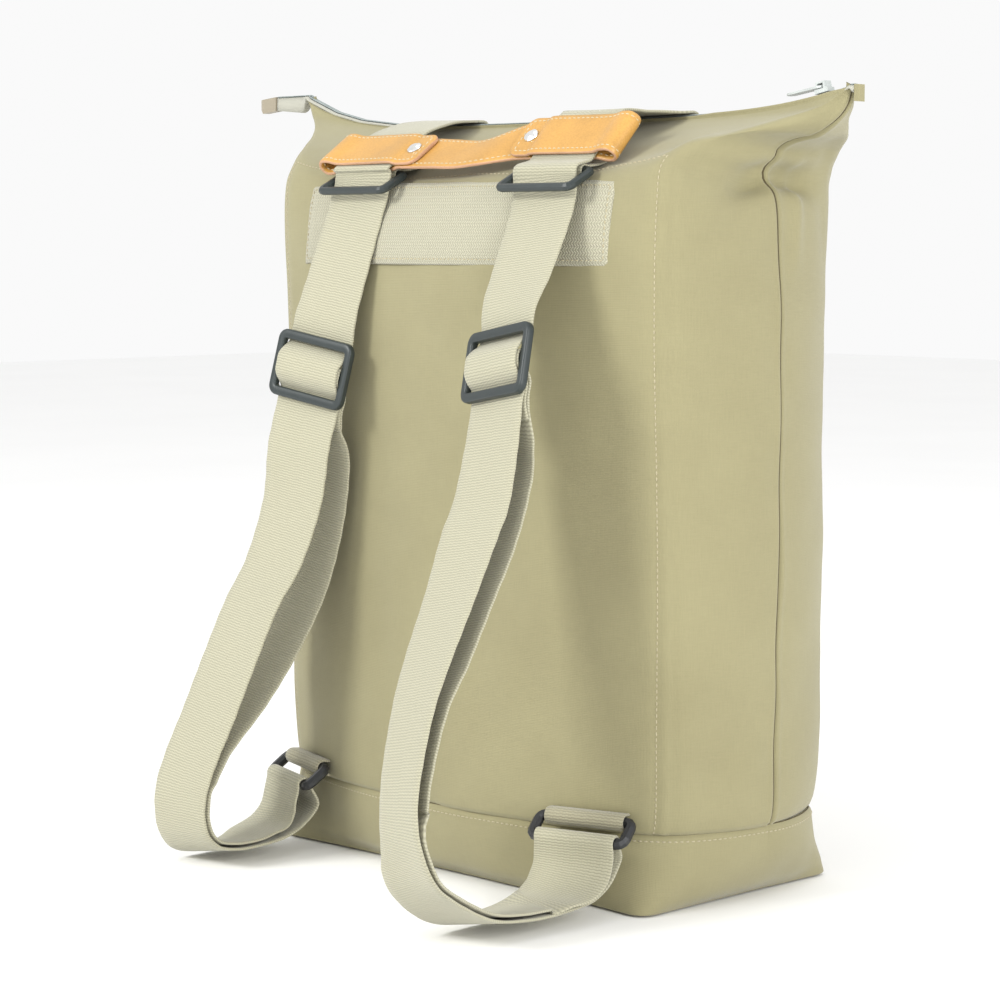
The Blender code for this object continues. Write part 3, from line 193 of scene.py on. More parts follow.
FRONT_FOLDS = (
    (1.10, 0.05, 0.925, 1.11, 0.60, 0.915, 0.055, -0.28),
    (1.12, 0.10, 0.960, 1.03, 0.86, 0.962, 0.055, 0.070),
    (1.11, 0.30, 0.955, 1.13, 0.25, 0.820, 0.045, 0.110),
    (1.14, 0.72, 0.970, 1.10, 0.90, 0.800, 0.060, -0.040),
    (1.05, 0.88, 0.940, 1.28, 0.35, 0.985, 0.050, -0.045),
    (-1.10, 0.05, 0.925, -1.10, 0.55, 0.905, 0.075, -0.10),
    (-1.12, 0.10, 0.955, -1.02, 0.86, 0.962, 0.055, 0.055),
    (0.60, 1.35, 0.200, 0.45, 1.30, 0.700, 0.120, -0.030),
    (-0.45, 1.40, 0.160, -0.55, 1.30, 0.560, 0.110, -0.030),
    (0.95, 1.10, 0.125, 0.55, 1.25, 0.260, 0.080, -0.035),
)

# Waves of the stuffed cloth: their length, height and stretch
WAVES = {
    "long": (0.150, 0.0010, (1, 1, 0.6)),
    "short": (0.045, 0.00028),
    "base long": (0.090, 0.0010),
    "base short": (0.030, 0.00028),
}
# Grooves and ridges along a line: their height or depth and their width
RELIEF_LINES = {
    "side seam": (0.0016, 0.0010),
    "beside seam": (0.0004, 0.0018),
    "corner": (0.0006, 0.0022),
    "beside corner": (0.0004, 0.0012),
    "above base": (0.0016, 0.0014),
    "base seam": (0.0013, 0.0013),
    "band stitches": (0.0003, 0.0009),
}
SWELL_PLACE = 0.0030
# Puckers along a seam: height, pitch, sway and its pitch, and how far from the seam they lie and spread
PUCKERS = {
    "side seam": (0.00030, 0.011, 1.3, 0.047, 0.004, 0.005),
    "above base": (0.00025, 0.010, 1.1, 0.053, 0.005, 0.006),
    "base seam": (0.0003, 0.009, 1.0, 0.041, 0.004, 0.004),
    "band edge": (0.00025, 0.012, 1.4, 0.05, 0.002, 0.005),
}

# The folded edge of the cloth beside the zip tape: its height at x, and the outline of its turn (out, rise)
HEM = (
    (-0.230, 0.0004), (-0.128, 0.0006), (-0.112, 0.0017), (0.124, 0.0017), (0.140, 0.0027), (0.225, 0.0027),
    (0.240, 0.0012),
)
HEM_TURN = ((0.0004, 0.5), (0.0005, 0.85), (0.0002, 1.0), (-0.0003, 1.0), (-0.0008, 0.8))

# Leather strip: y as a share of HALF_D, z as a share of ZIP_HEIGHT, and its tilt in degrees
HANDLE = {"left": (1.100, 0.9640, 35.0), "middle": (1.075, 0.9580, 32.0), "right": (0.920, 0.9770, 47.0)}

# Routes of the webbings: height from the lower ring (0) to the upper (1), distance out as a share of reach, and
# yaw and roll in degrees
ROUTES = {
    "left": {
        "reach": 0.102,
        "above": ((0.966, 0.00, 0, 0), (0.861, 0.095, -3, 0), (0.775, 0.170, -6, 0)),
        "slider": (0.687, 0.245, -8, 0),
        "outer": (
            (0.560, 0.290, -7, 0), (0.460, 0.305, -4, 0), (0.358, 0.410, -2, 0), (0.293, 0.543, 0, 0),
            (0.202, 0.676, 0, 0), (0.103, 0.810, 0, 0), (0.032, 0.914, 0, 1), (-0.018, 0.971, 0, 3),
            (-0.056, 0.985, 1, 5), (-0.093, 0.955, 2, 8), (-0.120, 0.870, 3, 10), (-0.132, 0.730, 4, 10),
            (-0.132, 0.520, 6, 9), (-0.122, 0.310, 9, 6), (-0.098, 0.140, 12, 3), (-0.066, 0.050, 14, 0),
        ),
        "joined": (7, 12),
        "front_of_ring": (
            (-0.062, 0.195, 14, 0), (-0.0826, 0.216, 13, 1), (-0.0983, 0.260, 12, 2), (-0.1083, 0.328, 10, 4),
            (-0.1149, 0.412, 8, 6),
        ),
        "inner": (
            (0.000, 0.900, 0, 0), (0.045, 0.815, 0, 0), (0.122, 0.571, 0, 0), (0.202, 0.371, 0, 0),
            (0.287, 0.210, 0, 0), (0.358, 0.133, 0, 0), (0.460, 0.085, 0, 0), (0.545, 0.105, 0, 0),
        ),
    },
    "right": {
        "reach": 0.150,
        "above": ((0.966, 0.00, 1, 0), (0.861, 0.138, 4, 0), (0.805, 0.220, 9, 0)),
        "slider": (0.716, 0.315, 12, 0),
        "outer": (
            (0.590, 0.378, 10, 0), (0.504, 0.455, 8, 0), (0.460, 0.520, 8, 0), (0.372, 0.642, 13, 0),
            (0.276, 0.784, 17, 0), (0.216, 0.862, 19, 0), (0.136, 0.936, 20, 0), (0.081, 0.972, 20, 1),
            (0.036, 0.982, 18, 3), (-0.010, 0.965, 14, 5), (-0.050, 0.920, 8, 8), (-0.090, 0.815, 2, 10),
            (-0.120, 0.680, -3, 10), (-0.131, 0.520, -7, 10), (-0.129, 0.350, -9, 8), (-0.116, 0.190, -11, 6),
            (-0.088, 0.095, -12, 3), (-0.056, 0.045, -13, 0),
        ),
        "joined": (8, 14),
        "front_of_ring": (
            (-0.062, 0.118, -13, 0), (-0.083, 0.142, -13, 1), (-0.0985, 0.182, -12, 2), (-0.1085, 0.235, -11, 4),
            (-0.114, 0.300, -10, 6),
        ),
        "inner": (
            (0.050, 0.945, 18, 0), (0.110, 0.905, 19, 0), (0.212, 0.800, 18, 0), (0.276, 0.690, 16, 0),
            (0.366, 0.545, 14, 0), (0.440, 0.425, 13, 0), (0.505, 0.345, 12, 0), (0.570, 0.292, 12, 0),
        ),
    },
}

# Weaves: roughness, roundness of a column, fuzz scale, painted shade and highlight tones from hollow to crest,
# place of the middle tone, bump
WEAVES = {
    "straight": (0.82, 0.22, (2200, 1400, 1), (0.70, 0.95, 1.06), 0.45, 0.8),
    "slanted": (0.84, 0.4, (1800, 1800, 1), (0.66, 0.96, 1.08), 0.5, 0.9),
}

# Camera: azimuth and elevation in degrees, the point it looks past, its distance and its shift right and up
AZIMUTH, ELEVATION = 45.83, 5.35
LOOK_AT = (0, 0, 0.2)
DISTANCE, SHIFT_RIGHT, SHIFT_UP = 1.7344, -0.0283, 0.0206
LENS, SENSOR = 101.3, 36.0
WORLD_LIGHT = 0.955
LIGHTS = {
    "key": ((-0.55, -2.2, 1.5), (0.7, 0.6), 43, (0.995, 1.0, 0.985)),
    "side": ((2.4, -0.6, 0.9), (1.2, 1.4), 42, (1, 1, 1)),
    "top": ((0.2, 0.3, 2.4), (1.8, 1.8), 4, (1, 1, 1)),
}
FLOOR_HALF, FLOOR_Z = 6.0, -0.0005


def unit(vector):
    vector = np.asarray(vector, float)
    return vector / np.maximum(np.linalg.norm(vector, axis=-1, keepdims=True), 1e-12)


def named(columns, row):
    return dict(zip(columns, row))


def ridge(distance, width):
    return np.exp(-((distance / width) ** 2))


def hermite(t):
    return 2 * t**3 - 3 * t**2 + 1, t**3 - 2 * t**2 + t, -2 * t**3 + 3 * t**2, t**3 - t**2


def arc_lengths(points, axis=0):
    """The distance run along an axis of a line or grid of points."""
    steps = np.linalg.norm(np.diff(points, axis=axis), axis=-1)
    start = np.zeros_like(np.take(steps, [0], axis=axis))
    return np.concatenate([start, np.cumsum(steps, axis=axis)], axis=axis)


def tangents_of(line):
    steps = unit(np.diff(line, axis=0))
    return unit(np.vstack([steps[:1], steps[:-1] + steps[1:], steps[-1:]]))


# Materials

class Finish:
    """A new material, with short calls for the nodes behind its shader."""

    def __init__(self, name, roughness, sheen=0.0, metallic=0.0, specular=0.5):
        self.material = bpy.data.materials.new(name)
        self.material.use_nodes = True
        self.tree = self.material.node_tree
        self.shader = self.tree.nodes["Principled BSDF"]
        for socket, value in (("Roughness", roughness), ("Metallic", metallic), ("Sheen Weight", sheen),
                              ("Sheen Roughness", 0.5), ("Specular IOR Level", specular)):
            self.shader.inputs[socket].default_value = value

    def node(self, kind, **settings):
        made = self.tree.nodes.new(f"ShaderNode{kind}")
        for key, value in settings.items():
            setattr(made, key, value)
        return made

    def put(self, socket, value):
        if isinstance(value, bpy.types.NodeSocket):
            self.tree.links.new(value, socket)
        else:
            socket.default_value = value

    def calc(self, operation, *values):
        node = self.node("Math", operation=operation)
        for socket, value in zip(node.inputs, values):
            self.put(socket, value)
        return node.outputs[0]

    def noise(self, place, scale, detail, stretch=(1, 1, 1)):
        mapping, node = self.node("Mapping"), self.node("TexNoise")
        self.put(mapping.inputs["Scale"], stretch)
        self.put(mapping.inputs["Vector"], place)
        self.put(node.inputs["Vector"], mapping.outputs[0])
        for socket, value in (("Scale", scale), ("Detail", detail), ("Roughness", 0.55)):
            self.put(node.inputs[socket], value)
        return node.outputs["Fac"]

    def ramp(self, factor, *stops):
        node = self.node("ValToRGB")
        elements = node.color_ramp.elements
        while len(elements) < len(stops):
            elements.new(0.5)
        for element, (place, colour) in zip(elements, stops):
            element.position = place
            element.color = (*colour, 1.0)
        self.put(node.inputs[0], factor)
        return node.outputs[0]

    def tones(self, factor, colour, *stops):
        """A ramp of lighter and darker shades of one colour."""
        return self.ramp(factor, *((place, tuple(c * share for c in colour)) for place, share in stops))

    def mix(self, factor, a, b, blend="MIX"):
        node = self.node("Mix", data_type="RGBA", blend_type=blend)
        for socket, value in (("Factor", factor), ("A", a), ("B", b)):
            self.put(node.inputs[socket], value)
        return node.outputs["Result"]

    def wave(self, value, period):
        """A sine of 0 to 1 with this period."""
        sine = self.calc("SINE", self.calc("MULTIPLY", value, 2 * math.pi / period))
        return self.calc("MULTIPLY_ADD", sine, 0.5, 0.5)

    def uv_parts(self):
        """The cloth's coordinates in metres, and their parts across the cloth and along it."""
        split = self.node("SeparateXYZ")
        uv = self.node("TexCoord").outputs["UV"]
        self.put(split.inputs[0], uv)
        return uv, split.outputs["X"], split.outputs["Y"]

    def finished(self, colour, shade, height, distance, strength):
        """Sets the colour, darkened by the shade where there is one, and the bump."""
        if shade is not None:
            colour = self.mix(1.0, colour, shade, "MULTIPLY")
        self.put(self.shader.inputs["Base Color"], colour)
        if height is not None:
            node = self.node("Bump")
            for socket, value in (("Strength", strength), ("Distance", distance), ("Height", height)):
                self.put(node.inputs[socket], value)
            self.put(self.shader.inputs["Normal"], node.outputs[0])
        return self.material


def canvas_material(name, colour):
    made = Finish(name, 0.86, sheen=0.25, specular=0.25)
    uv, u, v = made.uv_parts()
    thread = made.noise(uv, 1.0, 2.0, (1500, 90, 1))
    cross = made.noise(uv, 1.0, 2.0, (120, 1300, 1))
    patch = made.noise(uv, 14.0, 3.0)
    fine = made.mix(0.45, thread, cross)
    tone = made.tones(fine, colour, (0.32, 0.95), (0.5, 1), (0.70, 1.045))
    cloud = made.ramp(patch, (0.35, (0.955, 0.95, 0.94)), (0.65, (1.03, 1.03, 1.03)))
    warp = made.calc("MULTIPLY", made.wave(u, 0.00082), 0.6)
    weft = made.calc("MULTIPLY", made.wave(v, 0.00098), 0.4)
    rough = made.calc("ADD", made.calc("ADD", warp, weft), made.calc("MULTIPLY", fine, 0.9))
    return made.finished(tone, cloud, rough, 0.00012, 0.55)


def woven_material(name, colour, column, rib, deep=0.0003, weave="straight"):
    """Narrow columns of ribs: each shifted a little from the next, or slanted against the next, with painted shade
    in their hollows and a painted highlight on their crests.
    """
    roughness, roundness, fuzz_scale, shades, middle, strength = WEAVES[weave]
    made = Finish(name, roughness, sheen=0.3, specular=0.3)
    uv, u, v = made.uv_parts()
    if weave == "slanted":
        shift = made.calc("MULTIPLY", made.calc("PINGPONG", u, column), 0.9)
    else:
        number = made.calc("FLOOR", made.calc("DIVIDE", u, column))
        shift = made.calc("MULTIPLY", made.calc("MODULO", number, 2.0), rib * 0.14)
    ribs = made.wave(made.calc("ADD", v, shift), rib)
    columns = made.calc("ABSOLUTE", made.calc("SINE", made.calc("MULTIPLY", u, math.pi / column)))
    relief = made.calc("MULTIPLY", made.calc("POWER", columns, roundness), ribs)
    fuzz = made.noise(uv, 1.0, 2.0, fuzz_scale)
    # Painted shade and highlight: the colour is darker in the weave's hollows and lighter on its crests, following
    # the relief of the bump
    tone = made.tones(relief, colour, *zip((0.0, middle, 1.0), shades))
    cloud = made.ramp(fuzz, (0.30, (0.93, 0.93, 0.92)), (0.70, (1.04, 1.04, 1.04)))
    height = made.calc("ADD", relief, made.calc("MULTIPLY", fuzz, 0.3))
    return made.finished(tone, cloud, height, deep, strength)


def leather_material(name, colour, roughness, grain):
    made = Finish(name, roughness, specular=0.45)
    made.shader.inputs["Coat Weight"].default_value = 0.12
    made.shader.inputs["Coat Roughness"].default_value = 0.35
    place = made.node("TexCoord").outputs["Object"]
    patch, pores = made.noise(place, 38.0, 4.0), made.noise(place, 900.0, 3.0)
    tone = made.tones(patch, colour, (0.30, 0.86), (0.55, 1), (0.75, 1.08))
    spots = made.ramp(pores, (0.35, (0.90, 0.88, 0.85)), (0.60, (1.02, 1.02, 1.02)))
    made.put(made.shader.inputs["Roughness"], made.calc("MULTIPLY_ADD", patch, 0.25, roughness - 0.12))
    return made.finished(tone, spots, pores, grain, 0.5)


def moulded_material(name, colour, roughness, metallic=0.0, grain=0.00008):
    made = Finish(name, roughness, metallic=metallic)
    place = made.node("TexCoord").outputs["Object"]
    texture, scuffs = made.noise(place, 1500.0, 2.0), made.noise(place, 120.0, 4.0)
    tone = made.tones(scuffs, colour, (0.35, 0.90), (0.60, 1), (0.78, 1.12))
    made.put(made.shader.inputs["Roughness"], made.calc("MULTIPLY_ADD", scuffs, 0.22, roughness - 0.11))
    return made.finished(tone, None, texture, grain, 0.45)


def floor_material():
    made = Finish("floor_paper", 0.9, specular=0.2)
    patch = made.noise(made.node("TexCoord").outputs["Object"], 3.0, 2.0)
    tone = made.ramp(patch, (0.3, (0.94, 0.94, 0.935)), (0.7, (0.955, 0.955, 0.95)))
    return made.finished(tone, None, None, 0.0, 0.0)


# Meshes

def add_object(name, data):
    made = bpy.data.objects.new(name, data)
    bpy.context.scene.collection.objects.link(made)
    return made


def add_piece(name, points, faces, materials, uvs=None, face_materials=None, smooth=True):
    """A mesh piece. uvs holds one pair for each face corner."""
    mesh = bpy.data.meshes.new(name)
    counts = np.array([len(face) for face in faces], np.int32)
    loops = np.concatenate([np.asarray(face, np.int32) for face in faces])
    mesh.vertices.add(len(points))
    mesh.vertices.foreach_set("co", np.asarray(points, np.float32).reshape(-1))
    mesh.loops.add(len(loops))
    mesh.loops.foreach_set("vertex_index", loops)
    mesh.polygons.add(len(counts))
    mesh.polygons.foreach_set("loop_start", np.concatenate([[0], np.cumsum(counts)[:-1]]).astype(np.int32))
    for finish in materials:
        mesh.materials.append(finish)
    if face_materials is not None:
        mesh.polygons.foreach_set("material_index", np.asarray(face_materials, np.int32))
    mesh.polygons.foreach_set("use_smooth", np.full(len(counts), smooth))
    mesh.update(calc_edges=True)
    if uvs is not None:
        layer = mesh.uv_layers.new(name="cloth")
        layer.data.foreach_set("uv", np.asarray(uvs, np.float32).reshape(-1))
    mesh.validate()
    return add_object(name, mesh)


def dress(piece, slot, *nodes):
    """Puts the piece on the one body of the bag."""
    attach(piece, "root")
    if nodes:
        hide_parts(*nodes)


def grid_faces(rows, columns, flip=False):
    index = np.arange(rows * columns).reshape(rows, columns)
    quads = np.stack([index[:-1, :-1], index[:-1, 1:], index[1:, 1:], index[1:, :-1]], axis=-1).reshape(-1, 4)
    return quads[:, ::-1] if flip else quads


def grid_piece(name, grid, uv, finish, flip):
    faces = grid_faces(*grid.shape[:2], flip)
    return add_piece(name, grid.reshape(-1, 3), faces, [finish], uv.reshape(-1, 2)[faces.reshape(-1)])


def welded(piece):
    """Joins the points where a closed outline meets itself and turns the faces outward."""
    shell = bmesh.new()
    shell.from_mesh(piece.data)
    bmesh.ops.remove_doubles(shell, verts=shell.verts, dist=1e-7)
    bmesh.ops.recalc_face_normals(shell, faces=shell.faces)
    shell.to_mesh(piece.data)
    shell.free()
    return piece


def closed_rings(sections):
    return np.concatenate([sections, sections[:, :1]], axis=1)


def tube_piece(name, sections, finishes, uv=None, kinds=None):
    """A strip through its cross-sections, with flat ends. uv is for the closed rings."""
    count, sides = sections.shape[:2]
    faces = grid_faces(count, sides + 1)
    caps = [list(range(sides))[::-1], [(count - 1) * (sides + 1) + j for j in range(sides)]]
    uvs = None if uv is None else uv.reshape(-1, 2)[np.concatenate([faces.reshape(-1), *caps])]
    points = closed_rings(sections).reshape(-1, 3)
    return welded(add_piece(name, points, [*faces, *caps], finishes, uvs, kinds))


# Body

def half_sections(front, swell=()):
    """The sections of the back half, or those of the front half with its own ears."""
    own = {row[0]: named(FRONT_COLUMNS, row) for row in FRONT_EARS + tuple(swell)} if front else {}
    merged = [{**named(SECTION_COLUMNS, row), **own.get(row[1], {})} for row in SECTIONS]
    return tuple(tuple(share[key] for key in SECTION_COLUMNS) for share in merged)


def body_sizes(share):
    corner_x = share["corner_x"] * HALF_W + share["ear"] * EAR_REACH_RIGHT
    corner_y = share["corner_y"] * HALF_D
    side_x = share["corner_x"] * HALF_W + share["ear_side"] * EAR_REACH_RIGHT + share["side"] * SIDE_BULGE
    return corner_x, corner_y, side_x, corner_y + share["back"] * BACK_BULGE


def side_points(share, t):
    corner_x, corner_y, side_x, _ = body_sizes(share)
    z_corner, z_side = share["z_corner"] * ZIP_HEIGHT, share["z_side"] * ZIP_HEIGHT
    power = 2.0 - 0.75 * np.minimum(share["ear_side"] / 0.48, 1.0)
    x = side_x - (side_x - corner_x) * t**power
    return np.stack(np.broadcast_arrays(x, -corner_y * t, z_side + (z_corner - z_side) * t * t), axis=-1)


def back_points(share, t):
    corner_x, corner_y, _, back_y = body_sizes(share)
    z_back, z_corner = share["z_back"] * ZIP_HEIGHT, share["z_corner"] * ZIP_HEIGHT
    out = np.clip(1 - t, 0, 1)
    y = back_y - (back_y - corner_y) * out**2.2
    z = z_back + (z_corner - z_back) * out**RIGHT_EAR_POWER
    return np.stack(np.broadcast_arrays(corner_x * out, -y, z), axis=-1)


def to_left(grid, z_share):
    x, y, z = grid[..., 0], grid[..., 1], grid[..., 2]
    x = np.where(x > CREASE_X, CREASE_X + (x - CREASE_X) * EAR_REACH_LEFT / EAR_REACH_RIGHT, x)
    rise = np.clip((z_share - 0.93) / 0.06, 0.0, 1.0)
    z = z + EAR_LIFT_LEFT * rise * (x / (CREASE_X + EAR_REACH_LEFT)) ** LEFT_EAR_POWER
    return np.stack([-x, y, z], axis=-1)


def half_grid(rows, steps, crowd=1.0):
    """Points of the back half: from the right side seam round the corner and the back to the left side seam."""
    share = {key: rows[:, k : k + 1] for k, key in enumerate(SECTION_COLUMNS)}
    side_steps, corner_steps, back_steps = steps
    corner_x, corner_y, side_x, _ = body_sizes(share)
    cut_side = np.minimum(CORNER_ROUND / np.hypot(corner_y, side_x - corner_x), 0.35)
    cut_back = np.minimum(CORNER_ROUND, 0.35 * corner_y) / corner_x
    start = side_points(share, 1 - cut_side)
    apex = side_points(share, np.ones_like(cut_side))
    end = back_points(share, cut_back)
    side = side_points(share, (1 - cut_side) * (np.arange(side_steps) / side_steps) ** crowd)
    t = (np.arange(corner_steps) / corner_steps)[None, :, None]
    corner = (1 - t) ** 2 * start + 2 * t * (1 - t) * apex + t * t * end
    back = back_points(share, cut_back + (1 - cut_back) * np.arange(back_steps + 1) / back_steps)
    right = np.concatenate([side, corner, back], axis=1)
    return np.concatenate([right, to_left(right[:, :-1], share["z_corner"])[:, ::-1]], axis=1)


def smooth_rows(rows, spacing, seam_segment):
    """The table's rows with smooth rows between them, no further apart than the spacing and closer at the seam."""
    table = np.array(rows, float)
    secants = np.diff(table, axis=0)
    slopes = np.zeros_like(table)
    slopes[1:-1] = (secants[:-1] + secants[1:]) / 2
    slopes[0], slopes[-1] = secants[0], secants[-1]
    before, after = np.vstack([secants[:1], secants]), np.vstack([secants, secants[-1:]])
    limit = 3 * np.minimum(np.abs(before), np.abs(after))
    slopes = np.where(np.sign(before) == np.sign(after), np.clip(slopes, -limit, limit), 0)
    outline = half_grid(table, (1, 1, 1))
    result = []
    for k in range(len(table) - 1):
        at_seam = k == seam_segment
        reach = np.linalg.norm(outline[k + 1] - outline[k], axis=-1).max()
        pieces = max(int(math.ceil(reach / spacing)), 2) + 3 * at_seam
        for j in range(pieces):
            t = j / pieces
            if at_seam:
                t = t**SEAM_CROWD if k == 0 else 1 - (1 - t) ** SEAM_CROWD
            h = hermite(t)
            row = h[0] * table[k] + h[1] * slopes[k] + h[2] * table[k + 1]
            result.append(row + h[3] * slopes[k + 1])
    return np.array(result + [table[-1]])


def grid_normals(grid):
    """Outward normals of a grid whose columns run from right to left along the back."""
    return unit(np.cross(np.gradient(grid, axis=0), np.gradient(grid, axis=1)))


def fold_heights(grid, folds):
    """The relief that the folds give to every point of the grid."""
    scale = np.array([HALF_W, HALF_D, ZIP_HEIGHT])
    total = np.zeros(grid.shape[:2])
    for row in folds:
        fold = named(FOLD_COLUMNS, row)
        start, end = np.array(row[:3]) * scale, np.array(row[3:6]) * scale
        along = end - start
        inside = np.clip(((grid - start) @ along) / (along @ along), 0, 1)
        far = np.linalg.norm(grid - (start + inside[..., None] * along), axis=-1)
        taper = 0.35 + 0.65 * np.sin(math.pi * inside)
        total += fold["height"] * BACK_BULGE * taper * ridge(far, fold["width"] * BODY_DEPTH)
    return total


def soft_waves(grid, seed, size, height, stretch=(1, 1, 1)):
    """Gentle unevenness of stuffed cloth: a few long waves in different directions."""
    chance = np.random.default_rng(seed)
    total = np.zeros(grid.shape[:2])
    for _ in range(9):
        direction = unit(chance.normal(size=3) * stretch)
        phase = chance.uniform(0, 2 * math.pi)
        length = size * chance.uniform(0.7, 1.5)
        total += np.sin((grid @ direction) * 2 * math.pi / length + phase)
    return total * height / 3


def relief_line(kind, away):
    height, width = RELIEF_LINES[kind]
    return height * ridge(away, width)


def puckers(kind, along, away):
    """Small waves along a seam, which fade away from it."""
    height, pitch, sway, sway_pitch, place, width = PUCKERS[kind]
    return height * np.sin(along / pitch + sway * np.sin(along / sway_pitch)) * ridge(away - place, width)


def body_half(rows, folds, sign):
    """The back or front half above the base seam: its grid, its cloth coordinates and its normals."""
    grid = half_grid(rows, STEPS, SEAM_CROWD)
    normals = grid_normals(grid)
    flipped = np.array([1, sign, 1])
    across, upward = arc_lengths(grid, 1), arc_lengths(grid, 0)
    to_seam = np.minimum(across, across[:, -1:] - across)
    share = rows[:, SECTION_COLUMNS.index("z_corner")][:, None]
    quiet = np.clip((1.0 - share) / 0.02, 0, 1)
    relief = fold_heights(grid * flipped, folds) * quiet
    relief += soft_waves(grid * flipped, 5 if sign > 0 else 8, *WAVES["long"]) * quiet
    relief += soft_waves(grid * flipped, 11 if sign > 0 else 14, *WAVES["short"]) * quiet
    # The side seam's groove, the cloth that rises beside it, and its puckers
    relief -= relief_line("side seam", to_seam)
    relief += relief_line("beside seam", to_seam - SWELL_PLACE)
    relief += puckers("side seam", upward, to_seam)
    # The ridge along each corner, with a shallow hollow beside it
    for corner in (CORNER_COLUMN, grid.shape[1] - 1 - CORNER_COLUMN):
        offset = np.abs(across - across[:, corner : corner + 1])
        lower = np.clip((0.955 - share) / 0.02, 0, 1)
        relief += lower * (relief_line("corner", offset) - relief_line("beside corner", offset - CORNER_INSET))
    # The seam round the base and its puckers
    relief -= relief_line("above base", upward)
    relief += puckers("above base", across, upward)
    shaped = grid + normals * relief[..., None]
    shaped[:, [0, -1], 1] = -GAP / 2
    shaped[0, :, 2] = grid[0, :, 2]
    middle = grid.shape[1] // 2
    uv = np.stack([across - across[:, middle : middle + 1], upward], axis=-1)
    return shaped * flipped, uv, normals * flipped


def tucked(grid, normals, uv):
    """Turns the cloth's side and lower edges inward, as a seam does."""
    inward = -normals * TUCK
    left, right = (grid[:, end] + inward[:, end] * (1, 0.15, 1) for end in (slice(0, 1), slice(-1, None)))
    grid = np.concatenate([left, grid, right], axis=1)
    uv = np.concatenate([uv[:, :1], uv, uv[:, -1:]], axis=1)
    normals = np.concatenate([normals[:, :1], normals, normals[:, -1:]], axis=1)
    below = grid[:1] - normals[:1] * (TUCK, TUCK, 0)
    return np.concatenate([below, grid], axis=0), np.concatenate([uv[:1], uv], axis=0)


def hemmed(grid, uv, sign):
    """Adds the folded edge beside the zip tape above the last row."""
    rim = grid[-1]
    height = np.interp(rim[:, 0], *np.array(HEM).T)
    rows = []
    for out, rise in HEM_TURN:
        outward = np.where(np.abs(rim[:, 1]) > 0.002, -sign * out, 0.0)
        rows.append(rim + np.stack([np.zeros_like(height), outward, rise * height], axis=-1))
    flat = np.repeat(uv[-1:], len(rows), axis=0)
    return np.concatenate([grid, rows], axis=0), np.concatenate([uv, flat], axis=0)


def build_body(canvas):
    halves = {}
    for name, sign, folds in (("back", 1, BACK_FOLDS), ("front", -1, FRONT_FOLDS)):
        rows = smooth_rows(half_sections(sign < 0, FRONT_SWELL)[SEAM_ROW:], HALF_SPACING, 0)
        grid, uv, normals = body_half(rows, folds, sign)
        halves[name] = (grid, normals)
        full, full_uv = hemmed(*tucked(grid, normals, uv), sign)
        dress(grid_piece(f"canvas_{name}", full, full_uv, canvas, sign > 0), "canvas", f"body_{name}")
    return halves


def build_base(canvas):
    rows = smooth_rows(SECTIONS[: SEAM_ROW + 1], BASE_SPACING, SEAM_ROW - 1)
    back = half_grid(rows, STEPS, SEAM_CROWD)
    front = (back * (1, -1, 1))[:, ::-1][:, 1:-1]
    grid = closed_rings(np.concatenate([back, front], axis=1))
    normals = grid_normals(grid)
    normals[:, 0] = normals[:, -1] = unit(normals[:, 0] + normals[:, -1])
    across, upward = arc_lengths(grid, 1), arc_lengths(grid, 0)
    below_seam = upward[-1:] - upward
    high = np.clip(grid[..., 2] / 0.006, 0, 1)
    relief = soft_waves(grid, 21, *WAVES["base long"]) * high
    relief += soft_waves(grid, 22, *WAVES["base short"]) * high
    relief -= relief_line("base seam", below_seam)
    relief += puckers("base seam", across, below_seam) * high
    relief[:, -1] = relief[:, 0]
    grid = grid + normals * relief[..., None]
    grid[0, :, 2] = 0.0
    grid[..., 2] = np.maximum(grid[..., 2], 0)
    tuck = grid[-1:] - unit(normals[-1:] * (1, 1, 0)) * TUCK
    flat = np.array([grid[0] * (s, s, 0) for s in (0.0, 0.25, 0.5, 0.75, 0.9)])
    full = np.concatenate([flat, grid, tuck], axis=0)
    uv = np.stack([across, upward], axis=-1)
    flat_uv = np.repeat(uv[:1], 5, axis=0) - np.array([0.15, 0.11, 0.08, 0.04, 0.02])[:, None, None] * (0, 1)
    full_uv = np.concatenate([flat_uv, uv, uv[-1:]], axis=0)
    dress(grid_piece("canvas_base", full, full_uv, canvas, True), "canvas", "base")
    return grid, normals


# Surface of the CAD body, for pieces that lie on it

def back_line(x, front=False):
    """(y, z) of every section above the base seam at this x, as a panel and roof run up to the zip."""
    line = []
    for row in half_sections(front)[SEAM_ROW:]:
        share = named(SECTION_COLUMNS, row)
        corner_x = body_sizes(share)[0]
        if abs(x) < corner_x:
            point = back_points(share, 1 - abs(x) / corner_x)
            if x < 0:
                point = to_left(np.array([abs(x), point[1], point[2]]), share["z_corner"])
            line.append((point[1], point[2]))
    return np.array(line)


def panel_y(x, z):
    line = back_line(x)
    return float(np.interp(z, line[:, 1], line[:, 0]))


def roof_z(x, y):
    line = back_line(x)
    roof = line[line[:, 0] > panel_y(x, 0.90 * ZIP_HEIGHT)]
    return float(np.interp(-abs(y), roof[:, 0], roof[:, 1]))


RIM = half_grid(np.array(SECTIONS[-1:]), (4, 2, 7))[0][::-1]


def rim_height(x):
    return np.interp(x, RIM[:, 0], RIM[:, 2])


# Webbing

